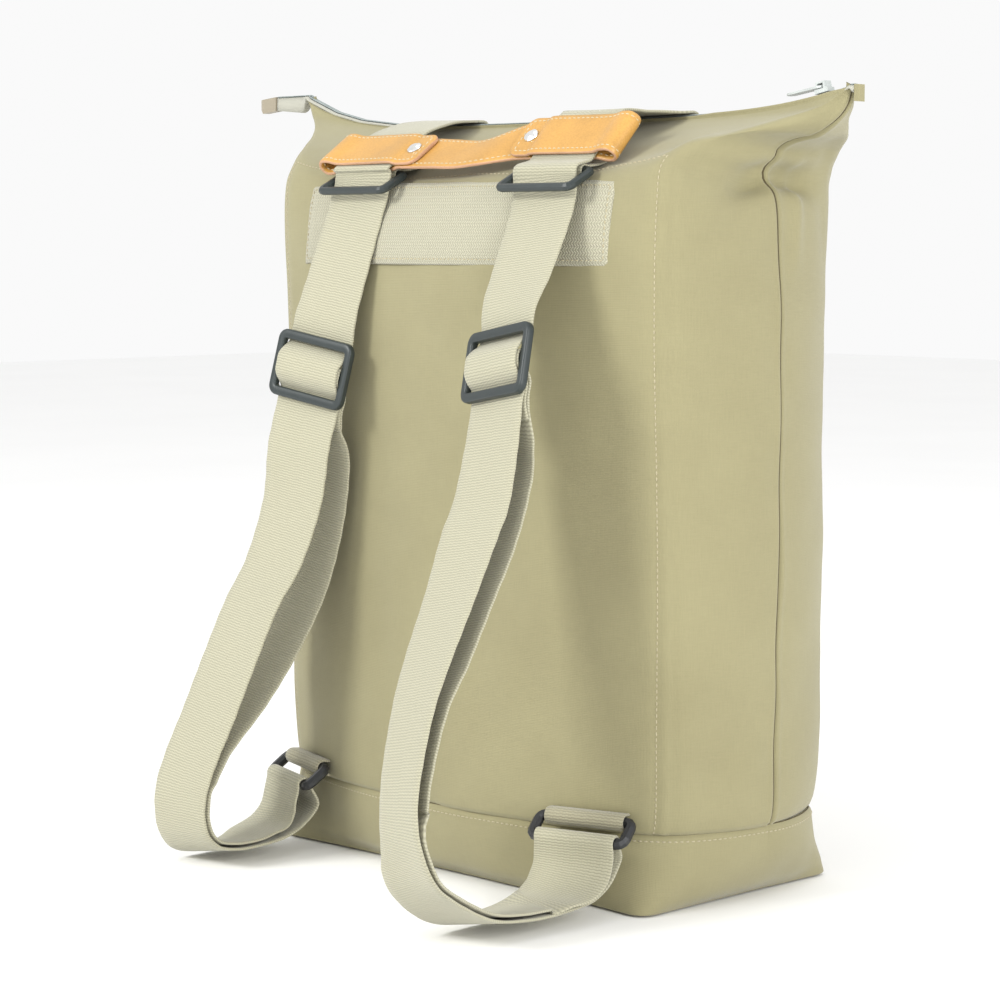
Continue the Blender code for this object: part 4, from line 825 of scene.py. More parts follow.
def smooth_path(points, step):
    """A smooth curve through the points, sampled about every step, closer where it bends."""
    points = np.asarray(points, float)
    gaps = np.linalg.norm(np.diff(points[:, :3], axis=0), axis=1)
    knots = np.concatenate([[0], np.cumsum(np.sqrt(np.maximum(gaps, 1e-9)))])
    slopes = np.gradient(points, knots, axis=0)
    dense = []
    for k in range(len(points) - 1):
        span = knots[k + 1] - knots[k]
        pieces = max(int(math.ceil(gaps[k] / step)), 2)
        for j in range(pieces):
            h = hermite(j / pieces)
            place = h[0] * points[k] + h[1] * span * slopes[k] + h[2] * points[k + 1]
            dense.append(place + h[3] * span * slopes[k + 1])
    return np.array(dense + [points[-1]])


def width_direction(yaw, roll):
    yaw, roll = math.radians(yaw), math.radians(roll)
    return np.array([math.cos(yaw) * math.cos(roll), -math.sin(yaw) * math.cos(roll), math.sin(roll)])


def turns_of(across):
    return math.degrees(math.atan2(-across[1], across[0])), math.degrees(math.asin(across[2]))


def ribbon_frames(path):
    """Centres, width directions and normals along rows of (x, y, z, yaw, roll)."""
    centres = path[:, :3]
    tangents = tangents_of(centres)
    across = np.array([width_direction(yaw, roll) for yaw, roll in path[:, 3:5]])
    across = unit(across - tangents * (across * tangents).sum(axis=1)[:, None])
    return centres, across, unit(np.cross(across, tangents))


def strip_profile(width, thick, columns):
    """Offsets across and through a strip with softly rounded edges."""
    half, edge = width / 2, thick / 2
    flat = np.linspace(-half + edge * 0.7, half - edge * 0.7, columns)
    lower, upper = [(x, -edge) for x in flat], [(x, edge) for x in flat[::-1]]
    right = [(half - edge * 0.2, -edge * 0.7), (half, 0.0), (half - edge * 0.2, edge * 0.7)]
    left = [(-half + edge * 0.2, edge * 0.7), (-half, 0.0), (-half + edge * 0.2, -edge * 0.7)]
    return np.array(lower + right + upper + left)


def ribbon_piece(name, path, width, thick, finish, columns=9, uneven=0.0):
    """A woven strip along the path, with coordinates in metres for its weave."""
    centres, across, normals = ribbon_frames(path)
    profile = strip_profile(width, thick, columns)
    out, through = profile[None, :, 0], profile[None, :, 1:]
    length = arc_lengths(centres)
    ripple = uneven * np.sin(length[:, None] / 0.0023 + np.sign(out) * 0.8) * (np.abs(out) > width * 0.48)
    wide = out + np.sign(out) * ripple
    sections = centres[:, None] + across[:, None] * wide[..., None] + normals[:, None] * through
    u = np.concatenate([profile[:, 0], profile[:1, 0]])
    uv = np.stack(np.broadcast_arrays(u[None, :], length[:, None]), axis=-1)
    return tube_piece(name, sections, [finish], uv)


def distance_to(line, place, normal):
    """How far the polyline lies from the place along the normal."""
    found = []
    for a, b in zip(line[:-1], line[1:]):
        along = b - a
        turn = normal[0] * along[1] - normal[1] * along[0]
        if abs(turn) < 1e-9:
            continue
        gap = a - place
        if -0.05 <= (normal[1] * gap[0] - normal[0] * gap[1]) / turn <= 1.05:
            found.append((gap[0] * along[1] - gap[1] * along[0]) / turn)
    return min(found, key=abs) if found else 0.0


def lying_on(x, place, normal, stand):
    """(y, z, yaw, roll) of webbing that lies on the front's cloth at this place, tipped to the cloth's slope."""
    shifts = (-WEB_WIDTH / 2, 0.0, WEB_WIDTH / 2)
    low, middle, high = (distance_to(back_line(x + shift, True), place, normal) for shift in shifts)
    rise = high - low
    centre = place + normal * ((low + high) / 2 + max(middle - (low + high) / 2, 0.0) + stand)
    roll = math.degrees(math.asin(normal[1] * rise / math.hypot(WEB_WIDTH, rise)))
    return centre[0], centre[1], math.degrees(math.atan2(-normal[0] * rise, WEB_WIDTH)), roll


def strap_x(side, height):
    """Centre of the webbing: height 0 is the lower ring, 1 the upper one."""
    top = SIDES[side] * STRAP_X_TOP + STRAP_SHIFT
    low = SIDES[side] * STRAP_X_LOW
    return low + (top - low) * min(max(height, 0.0), 1.0)


def route_point(side, row):
    height, out, yaw, roll = row
    z = RING_LOW_Z + height * (RING_UP_Z - RING_LOW_Z)
    return np.array([strap_x(side, height), -(PASS_Y + out * ROUTES[side]["reach"]), z, yaw, roll])


def low_ring_frame(side):
    """Rear bar, front bar, the ring's width direction and its level outward direction."""
    sign, span = SIDES[side], RING_INNER_WIDTH / 2
    inner, outer = (panel_y(LOW_TAB_X + shift, RING_LOW_Z) for shift in (-span, span))
    turn = math.atan2(outer - inner, 2 * span)
    across = np.array([math.cos(turn), sign * math.sin(turn), 0.0])
    outward = np.array([sign * math.sin(turn), -math.cos(turn), 0.0])
    x = sign * LOW_TAB_X
    stand = RING_LOW_WIRE / 2 + GAP + TAB_THICK + RING_LOW_STAND
    rear = np.array([x, panel_y(x, RING_LOW_Z), RING_LOW_Z - 0.0015]) + outward * stand
    drop = math.radians(RING_LOW_DROP)
    along = outward * math.cos(drop) - np.array([0, 0, math.sin(drop)])
    return rear, rear + along * (RING_LOW_DEPTH - RING_LOW_WIRE), across, outward


def round_bar(bar, outward, radius, turns, angles):
    """Path rows round a lower ring's bar, from its outer side upward."""
    rows = []
    for a in np.radians(angles):
        place = bar - outward * radius * math.cos(a) + np.array([0, 0, radius * math.sin(a)])
        rows.append((*place, *turns))
    return rows


def tilted(x, y_share, z_share, tilt):
    """Centre, width direction and normal of the leather strip with these values."""
    tilt = math.radians(tilt)
    centre = np.array([x, -y_share * HALF_D, z_share * ZIP_HEIGHT])
    return centre, np.array([0, math.cos(tilt), math.sin(tilt)]), np.array([0, -math.sin(tilt), math.cos(tilt)])


def over_the_top(side):
    """From the sewn end on the front panel over the zip to the leather loop."""
    x = strap_x(side, 1.0)
    rim_x = x + SIDES[side] * RIM_SPREAD
    line = back_line(rim_x, True)
    line = line[line[:, 1] > 0.83 * ZIP_HEIGHT]
    slope = unit(np.gradient(line, axis=0))
    normal = np.stack([-slope[:, 1], slope[:, 0]], axis=1)
    points = []
    for place, out in zip(line[:-1], normal):
        y, z, yaw, roll = lying_on(rim_x, place, out, WEB_THICK / 2 + GAP + FRONT_STAND)
        points.append((rim_x, -y, z, -yaw, roll))
    edges = [float(rim_height(rim_x + shift)) for shift in (-WEB_WIDTH / 2, WEB_WIDTH / 2)]
    roll = math.degrees(math.atan2(edges[1] - edges[0], WEB_WIDTH))
    top = sum(edges) / 2 + 4 * GAP + ZIP_TAPE_THICK + ZIP_COIL_THICK + WEB_THICK / 2
    points.append((rim_x, ZIP_TAPE_WIDTH / 2, top - 0.0006, 0, roll))
    points.append((rim_x, 0.0, top, 0, roll))
    points.append((rim_x, -ZIP_TAPE_WIDTH / 2, top - 0.0003, 0, roll))
    centre, across, _ = tilted(0.0, *HANDLE[side])
    reach = LEATHER_WIDTH / 2
    high = centre + across * (reach + 0.005)
    points.append((rim_x * 0.4 + x * 0.6, high[1] * 0.55, top + (high[2] - top) * 0.30, 0, 0))
    for along in (reach + 0.005, reach - 0.002, 0, 0.002 - reach, -reach - 0.0032):
        place = centre + across * along
        points.append((x, place[1], place[2], 0, 0))
    points.append((x, -RING_UP_Y + 0.0004, RING_UP_Z + 0.0070, 0, 0))
    points.append((x, -RING_UP_Y, RING_UP_Z, 0, 0))
    return points


def slider_frame(side):
    """Centre, width direction, downward direction and outward normal of the tri-glide slider."""
    route = ROUTES[side]
    rows = (route["above"][-1], route["outer"][0], route["slider"])
    above, below, centre = (route_point(side, row) for row in rows)
    down = unit(below[:3] - above[:3])
    across = width_direction(centre[3], 0)
    across = unit(across - down * (across @ down))
    return centre[:3], across, down, np.cross(down, across)


def on_slider(side, pairs):
    centre, across, down, normal = slider_frame(side)
    return [(*(centre + down * u + normal * n), *turns_of(across)) for u, n in pairs]


def in_ring_plane(row, front, outward, turns):
    """Moves a path row sideways so that the webbing runs square to the lower ring's front bar."""
    reach = (row[1] - front[1]) / outward[1]
    return np.array([front[0] + reach * outward[0], row[1], row[2], *turns])


def strap_path(side):
    """The whole route of one webbing, as rows of (x, y, z, yaw, roll)."""
    route = ROUTES[side]
    half, bar = SLIDER_HEIGHT / 2, SLIDER_BAR / 2
    behind = -(SLIDER_THICK / 2 + GAP + WEB_THICK / 2)
    wrap = CENTRE_BAR_THICK / 2 + GAP + WEB_THICK / 2
    over = wrap + WEB_THICK + 0.0004
    inner_edge = half - SLIDER_BAR
    points = over_the_top(side)
    points += [tuple(route_point(side, row)) for row in route["above"]]
    # Each pair on the slider is (distance down, distance out) from its middle: first over the centre bar
    down = [(bar + 0.0020, over - 0.0004), (inner_edge - 0.0051, 0.0009), (inner_edge - 0.0007, behind)]
    down += [(half + 0.001, behind)]
    points += on_slider(side, [(-u, n) for u, n in down[::-1]] + [(0, over)] + down)
    outer = [route_point(side, row) for row in route["outer"]]
    _, front, across, outward = low_ring_frame(side)
    turns = turns_of(across)
    outer[-1] = in_ring_plane(outer[-1], front, outward, turns)
    points += [tuple(point) for point in outer]
    radius = RING_LOW_WIRE / 2 + GAP + WEB_THICK / 2
    points += round_bar(front, outward, radius, turns, (-15, 25, 60, 95, 130, 165, 195))
    for k, row in enumerate(route["front_of_ring"]):
        free = route_point(side, row)
        kept = 1 - k / len(route["front_of_ring"])
        points.append(tuple(free + (in_ring_plane(free, front, outward, turns) - free) * kept))
    path = np.array(outer)
    normals = ribbon_frames(path)[2]
    first, last = route["joined"]
    middle = path[:, :3].mean(axis=0)
    for k in range(last, first - 1, -1):
        inward = normals[k] if normals[k] @ (middle - path[k, :3]) > 0 else -normals[k]
        points.append((*(path[k, :3] + inward * LAYER_STEP), *path[k, 3:]))
    points += [tuple(route_point(side, row)) for row in route["inner"]]
    step = WEB_THICK + 0.0004
    tail, back = behind - step, behind - step - step
    # The returning layer goes up behind the slider, round the centre bar and down again
    loop = [(half + 0.0130, back - 0.0034), (half + 0.006, back - 0.0010), (half, back)]
    loop += [(inner_edge - 0.0027, back)]
    loop += [(bar + 0.0050, back * 0.75), (bar + 0.0002, -wrap), (-bar + 0.0009, -wrap - 0.0001)]
    loop += [(-bar - 0.0009, 0.0005 - wrap), (-bar - 0.0014, 0), (-bar - 0.0009, wrap - 0.0005)]
    loop += [(-bar + 0.0009, wrap + 0.0001), (bar + 0.0004, wrap), (bar + 0.0031, 0.0010)]
    loop += [(bar + 0.0054, -0.0022)]
    loop += [(inner_edge - 0.0021, tail + 0.0003), (half, tail), (half + 0.006, tail - 0.0010)]
    loop += [(half + 0.0125, tail - 0.0034)]
    return np.array(points + on_slider(side, loop))


def build_strap(side, finish):
    path = smooth_path(strap_path(side), 0.0035)
    piece = ribbon_piece(f"webbing_{side}", path, WEB_WIDTH, WEB_THICK, finish, 9, 0.00018)
    dress(piece, "strap_webbing", f"strap_{side}")


def rounded_outline(width, height, radius, corner_steps=8):
    points = []
    for quadrant, (sx, sy) in enumerate(((1, 1), (-1, 1), (-1, -1), (1, -1))):
        for k in range(corner_steps + 1):
            a = math.pi / 2 * (quadrant + k / corner_steps)
            x = sx * (width / 2 - radius) + radius * math.cos(a)
            points.append((x, sy * (height / 2 - radius) + radius * math.sin(a)))
    return np.array(points)


def soft_square(t):
    """A unit outline between a circle and a square."""
    return tuple(0.5 * math.copysign(abs(part) ** 0.6, part) for part in (math.cos(t), math.sin(t)))


BAR_PROFILE = ((0.0, -0.25), (0.05, -0.42), (0.16, -0.5), (0.84, -0.5), (0.95, -0.42), (1.0, -0.25))


def build_triglide(side, finish):
    """The moulded slider: a frame with soft edges and round corners, and its centre bar."""
    centre, across, down, normal = slider_frame(side)
    outer = rounded_outline(SLIDER_WIDTH, SLIDER_HEIGHT, SLIDER_ROUND)
    inner = rounded_outline(WEB_WIDTH + 0.0004, SLIDER_HEIGHT - 2 * SLIDER_BAR, SLOT_ROUND)
    profile = list(BAR_PROFILE) + [(share, -height) for share, height in BAR_PROFILE[::-1]]
    rings = []
    for a, b in zip(outer, inner):
        rings.append([(*(a + (b - a) * share), height * SLIDER_THICK) for share, height in profile])
    rings = closed_rings(np.array(rings + rings[:1]))
    faces = grid_faces(*rings.shape[:2])
    bar = [soft_square(t) for t in np.linspace(0, 2 * math.pi, 17)]
    bar_points = [(x, y * SLIDER_BAR, z * CENTRE_BAR_THICK)
                  for x in (-WEB_WIDTH / 2 - 0.0012, WEB_WIDTH / 2 + 0.0012) for y, z in bar]
    local = np.vstack([rings.reshape(-1, 3), bar_points])
    bar_faces = grid_faces(2, len(bar)) + rings.shape[0] * rings.shape[1]
    points = centre + local[:, :1] * across + local[:, 1:2] * down + local[:, 2:] * normal
    piece = add_piece(f"triglide_{side}", points, np.vstack([faces, bar_faces]), [finish])
    dress(welded(piece), "grey_plastic", f"slider_{side}")


def build_ring_tabs(side, strap_web, band_web):
    x = strap_x(side, 1.0)
    tilt = math.radians(RING_UP_TILT)
    axis_v = np.array([0, math.cos(tilt), math.sin(tilt)])
    rear = np.array([x, -RING_UP_Y, RING_UP_Z]) + axis_v * (RING_DEPTH - RING_WIRE) / 2
    radius = RING_WIRE / 2 + GAP + TAB_THICK / 2

    def on_roof(y):
        highest = max(roof_z(edge, y) for edge in (x - WEB_WIDTH / 2, x, x + WEB_WIDTH / 2))
        return x, y, highest + TAB_THICK / 2 + 0.0010, 0, 0

    points = [on_roof(rear[1] + 0.024), on_roof(rear[1] + 0.015)]
    for a in np.radians((55, 90, 125, 160, 195, 230, 262)):
        points.append((x, rear[1] + radius * math.cos(a), rear[2] + radius * math.sin(a), 0, 0))
    path = smooth_path(points + [on_roof(rear[1] + 0.0050)], 0.003)
    piece = ribbon_piece(f"loop_upper_{side}", path, WEB_WIDTH - 0.003, TAB_THICK, strap_web, 7)
    dress(piece, "strap_webbing", f"ring_tab_upper_{side}")
    rear, _, across, outward = low_ring_frame(side)
    radius = RING_LOW_WIRE / 2 + GAP + TAB_THICK / 2
    turns = turns_of(across)
    seat = outward * (RING_LOW_WIRE / 2 + GAP + TAB_THICK * 0.75)
    points = [(*(rear - seat + np.array([0, 0, radius - 0.0004])), *turns)]
    points += round_bar(rear, outward, radius, turns, (80, 110, 140, 170, 200, 230, 260, 280))
    points += [(*(rear - seat - np.array([0, 0, radius + 0.0010])), *turns)]
    piece = ribbon_piece(f"loop_lower_{side}", smooth_path(points, 0.002), WEB_WIDTH, TAB_THICK, band_web, 7)
    dress(piece, "band_webbing", f"ring_tab_lower_{side}")


# Stitches, and painted shade along the seams

def thread_rings(centre, aside, up, radius):
    """The six points round each centre of a thread."""
    return [centre + (aside * math.cos(t) + up * math.sin(t)) * radius for t in np.arange(6) * math.pi / 3]


def stitch_row(points, normals, pitch=0.0034, share=0.66, radius=0.00042, lift=0.00012):
    """Small rounded threads laid end to end along a line on a surface."""
    points = np.asarray(points, float)
    length = arc_lengths(points)
    count = max(int(length[-1] / pitch), 1)
    places = (np.arange(count) + 0.5) * length[-1] / count
    half = pitch * share / 2

    def at(values, s):
        return np.stack([np.interp(s, length, values[:, k]) for k in range(3)], axis=-1)

    a, b = at(points, places - half), at(points, places + half)
    up = unit(at(np.asarray(normals, float), places))
    aside = unit(np.cross(up, unit(b - a)))
    rings = []
    for along, size in ((0.0, 0.25), (0.12, 0.8), (0.5, 1.0), (0.88, 0.8), (1.0, 0.25)):
        centre = a + (b - a) * along + up * (lift + radius * (size - 1.0) * 0.8)
        rings.append(np.stack(thread_rings(centre, aside, up, radius * size), axis=1))
    return np.stack(rings, axis=1)


def stitches_piece(name, rows, finish, slot, *nodes):
    threads = np.concatenate([block for block in rows if len(block)], axis=0)
    count, rings, sides = threads.shape[:3]
    faces = []
    for i in range(rings - 1):
        for j in range(sides):
            k = (j + 1) % sides
            faces.append((i * sides + j, i * sides + k, (i + 1) * sides + k, (i + 1) * sides + j))
    quads = np.array(faces)[None] + (np.arange(count) * rings * sides)[:, None, None]
    dress(add_piece(name, threads.reshape(-1, 3), quads.reshape(-1, 4), [finish]), slot, *nodes)


def surface_line(grid, normals, rows, columns):
    """Points and normals at fractional rows and columns of a grid."""
    rows, columns = np.broadcast_arrays(np.asarray(rows, float), np.asarray(columns, float))
    r = np.clip(np.floor(rows).astype(int), 0, grid.shape[0] - 2)
    c = np.clip(np.floor(columns).astype(int), 0, grid.shape[1] - 2)
    s, t = (rows - r)[:, None], (columns - c)[:, None]

    def blend(values):
        low = values[r, c] * (1 - t) + values[r, c + 1] * t
        return low * (1 - s) + (values[r + 1, c] * (1 - t) + values[r + 1, c + 1] * t) * s

    return blend(grid), blend(normals)


def index_at(line, start, distance):
    """The fractional index at this distance along the line from the start index."""
    lengths = arc_lengths(line)
    return float(np.interp(lengths[start] + distance, lengths, np.arange(len(line))))


def body_stitches(halves, base, thread):
    """Rows beside the corners, across the top of both panels and below the base seam."""
    rows = []
    for grid, normals in halves.values():
        nearest = int(np.argmin(np.abs(grid[:, CORNER_COLUMN, 2] - TOP_STITCH_Z)))
        top_row = min(nearest, grid.shape[0] - 2)
        last = grid.shape[1] - 1
        for start, step in ((CORNER_COLUMN, CORNER_INSET), (last - CORNER_COLUMN, -CORNER_INSET)):
            places = np.arange(1, top_row + 1)
            columns = [index_at(grid[row], start, step) for row in places]
            rows.append(stitch_row(*surface_line(grid, normals, places, columns)))
        columns = np.arange(CORNER_COLUMN + 3, last - CORNER_COLUMN - 2)
        rows.append(stitch_row(*surface_line(grid, normals, np.full(len(columns), top_row), columns)))
    grid, normals = base
    columns = np.arange(grid.shape[1])
    places = grid.shape[0] - 1 - np.array([index_at(grid[::-1, column], 0, BASE_INSET) for column in columns])
    rows.append(stitch_row(*surface_line(grid, normals, places, columns)))
    stitches_piece("stitches_canvas", rows, thread, "canvas")


def seam_shade_piece(name, points, normals, radius, sink, finish):
    """A thin dark cord along a seam: painted shade in its groove."""
    radius = np.broadcast_to(radius, (len(points),))[:, None]
    aside = unit(np.cross(normals, unit(np.gradient(points, axis=0))))
    rings = closed_rings(np.stack(thread_rings(points - normals * sink, aside, normals, radius), axis=1))
    dress(welded(add_piece(name, rings.reshape(-1, 3), grid_faces(*rings.shape[:2]), [finish])), "canvas")


def build_seam_shade_lines(halves, base, finish):
    """The painted shade line of each side seam, wider at the kink below the ear, and of the seam round the base.
    """
    grid, normals = halves["back"]
    for name, column in (("seam_shade_right", 0), ("seam_shade_left", -1)):
        line = grid[1:, column] * (1, 0, 1)
        out = unit(normals[1:, column] * (1, 0, 1))
        radius = 0.00055 + 0.00035 * ridge(line[:, 2] - KINK_Z, 0.045)
        seam_shade_piece(name, line, out, radius, -0.0002, finish)
    grid, normals = base
    out = unit(normals[-1] * (1, 1, 0))
    seam_shade_piece("seam_shade_base", grid[-1] + (0, 0, 0.0002), out, 0.00032, 0.0001, finish)


# Band

def build_band(finish, thread):
    """The wide webbing on the back, one thick sheet with rounded edges, sewn along its inside edges."""
    columns, height_steps = 90, 24
    half, low = BAND_LENGTH / 2, BAND_TOP - BAND_HEIGHT
    across, heights = np.linspace(half, -half, columns), np.linspace(low, BAND_TOP, height_steps)
    cad_x, cad_z = np.linspace(half, -half, 17), np.linspace(low, BAND_TOP, 5)
    coarse = np.array([[panel_y(x, z) for x in cad_x] for z in cad_z])
    in_x = np.array([np.interp(across[::-1], cad_x[::-1], row[::-1])[::-1] for row in coarse])
    y = np.array([np.interp(heights, cad_z, in_x[:, k]) for k in range(columns)]).T
    grid = np.stack([np.broadcast_to(across, y.shape), y, np.broadcast_to(heights[:, None], y.shape)], axis=-1)
    normals = grid_normals(grid)
    edge_z = np.minimum(grid[..., 2] - heights[0], heights[-1] - grid[..., 2])
    edge = np.minimum(half - np.abs(grid[..., 0]), edge_z)
    soft = np.clip(edge / 0.0015, 0, 1) ** 0.5
    quilt = 0.0004 * np.clip((edge - 0.003) / 0.006, 0, 1) - relief_line("band stitches", edge - BAND_INSET)
    quilt += puckers("band edge", grid[..., 0], edge_z)
    outer = grid + normals * (0.0009 + WEB_THICK * (0.25 + 0.75 * soft) + quilt)[..., None]
    inner = grid + normals * 0.0007
    uv = np.stack([grid[..., 2] - heights[0], grid[..., 0]], axis=-1).reshape(-1, 2)
    rows, cols = grid.shape[:2]
    index = np.arange(rows * cols).reshape(rows, cols)
    front = grid_faces(rows, cols, True)
    border = list(index[0]) + list(index[1:, -1]) + list(index[-1, -2::-1]) + list(index[-2:0:-1, 0])
    sides = [(a, b, b + rows * cols, a + rows * cols) for a, b in zip(border, border[1:] + border[:1])]
    faces = np.vstack([front, front[:, ::-1] + rows * cols, sides])
    points = np.vstack([outer.reshape(-1, 3), inner.reshape(-1, 3)])
    piece = add_piece("band", points, faces, [finish], np.vstack([uv, uv])[faces.reshape(-1)])
    dress(welded(piece), "band_webbing", "wide_band")
    stitches = []
    margin_c = BAND_INSET / (BAND_LENGTH / (cols - 1))
    margin_r = BAND_INSET / (BAND_HEIGHT / (rows - 1))
    wide = np.linspace(margin_c, cols - 1 - margin_c, 80)
    tall = np.linspace(margin_r, rows - 1 - margin_r, 20)
    for r in (margin_r, rows - 1 - margin_r):
        stitches.append(stitch_row(*surface_line(outer, normals, r, wide), pitch=0.0032))
    for c in (margin_c, cols - 1 - margin_c):
        stitches.append(stitch_row(*surface_line(outer, normals, tall, c), pitch=0.0032))
    stitches_piece("stitches_band", stitches, thread, "band_webbing")


# Handle

def handle_points():
    """The strip from the flap's end out round the webbing and back under it: (distance out, offset)."""
    layer = LEATHER_THICK / 2 + GAP / 2
    near = WEB_THICK / 2 + LEATHER_THICK / 2 + 0.0004
    edge = WEB_WIDTH / 2
    rivet, fold = edge + RIVET_INSET, edge + FOLD_PAST_WEB
    flat = -rivet + RIVET_RADIUS + 0.0008
    flap = [(-rivet - FLAP_PAST_RIVET, layer), (-rivet, layer), (flat, layer), (-edge - 0.0008, near)]
    flap += [(0.0, near), (edge, near + 0.0002), (fold - 0.009, 0.0042), (fold - 0.0025, 0.0038), (fold, 0.0)]
    under = [(fold - 0.0025, -0.0040), (fold - 0.009, -0.0044), (edge, -near - 0.0002), (0.0, -near)]
    under += [(-edge - 0.0008, -near), (flat, -layer), (-rivet, -layer)]
    return flap + under + [(-rivet - FLAP_PAST_RIVET - 0.002, -layer)]


def handle_at(x):
    """Centre, width direction and normal of the strip's middle plane at x."""
    middle_x = 0.5 * STRAP_SHIFT
    side = "left" if x < middle_x else "right"
    middle, end = np.array(HANDLE["middle"]), np.array(HANDLE[side])
    reach = abs(strap_x(side, 1.0) - middle_x)
    if abs(x - middle_x) >= reach:
        return tilted(x, *end)
    t = min(abs(x - middle_x) / (reach - (WEB_WIDTH / 2 + RIVET_INSET + 0.004)), 1.0)
    return tilted(x, *(middle + (end - middle) * (t * t * (3 - 2 * t))))


def handle_line():
    """(x, offset) along the strip, with more points near its two ends, where its corners are rounded."""
    left, right = ([(strap_x(side, 1.0) + sign * out, offset) for out, offset in handle_points()]
                   for side, sign in SIDES.items())
    middle = 0.5 * STRAP_SHIFT
    path = left + [(middle - 0.012, 0.0), (middle + 0.012, 0.0)] + right[::-1]
    line = smooth_path([(x, 0.0, offset) for x, offset in path], 0.0030)[:, [0, 2]]
    length = arc_lengths(line)
    inside = length[(length > END_ZONE) & (length < length[-1] - END_ZONE)]
    stations = np.concatenate([[0], END_STATIONS, inside, length[-1] - END_STATIONS[::-1], length[-1:]])
    return np.stack([np.interp(stations, length, line[:, k]) for k in range(2)], axis=-1)


def build_handle(leather, raw_edge, thread):
    flat = handle_line()
    length = arc_lengths(flat)
    from_end = np.minimum(length, length[-1] - length)
    cut = FLAP_CORNER - np.minimum(from_end, FLAP_CORNER)
    narrowed = 1 - (FLAP_CORNER - np.sqrt(FLAP_CORNER**2 - cut**2)) / (LEATHER_WIDTH / 2)
    half, thick = LEATHER_WIDTH / 2, LEATHER_THICK / 2
    across = np.linspace(-1, 1, 15)
    groove = 0.00018 * ridge(np.abs(across) * half - (half - LEATHER_INSET), 0.0007)
    upper = [(a * (half - 0.0003), thick - g - 0.00025 * abs(a) ** 16) for a, g in zip(across, groove)]
    right = [(half, thick * 0.55), (half + 0.0001, 0.0), (half, -thick * 0.55)]
    profile = np.array(upper + right + [(a, -b) for a, b in upper[::-1]] + [(-a, -b) for a, b in right])
    sections, lines, normals = [], {-1: [], 1: []}, []
    for (x, offset), (dx, dn), narrow in zip(flat, tangents_of(flat), narrowed):
        centre, wide, normal = handle_at(x)
        place = centre + normal * offset
        side_normal = normal * dx - np.array([1.0, 0, 0]) * dn
        sections.append(place + profile[:, :1] * wide * narrow + profile[:, 1:] * side_normal)
        for sign in (-1, 1):
            lines[sign].append(place + wide * sign * (half * narrow - LEATHER_INSET))
        normals.append(side_normal)
    # The strip's two narrow sides and its ends show the raw edge
    face_row = [0] * 14 + [1] * 4 + [0] * 14 + [1] * 4
    kinds = face_row * (len(sections) - 1) + [1, 1]
    dress(tube_piece("leather_strip", np.array(sections), [leather, raw_edge], None, kinds), "leather", "handle")
    rows, normals = [], np.array(normals)
    first, last = np.nonzero(from_end > LEATHER_END_INSET)[0][[0, -1]]
    for face in (-1, 1):
        facing = normals * face
        lift = facing * (thick - 0.00008)
        near, far = (np.array(lines[sign]) + lift for sign in (-1, 1))
        for line in (near, far):
            rows.append(stitch_row(line[first : last + 1], facing[first : last + 1], **LEATHER_STITCH))
        for k in (first, last):
            line = (near[k] + far[k]) / 2 + np.linspace(-1, 1, 12)[:, None] * (far[k] - near[k]) / 2
            rows.append(stitch_row(line, np.repeat(facing[k][None], 12, axis=0), **LEATHER_STITCH))
    stitches_piece("stitches_leather", rows, thread, "leather")


# Zip

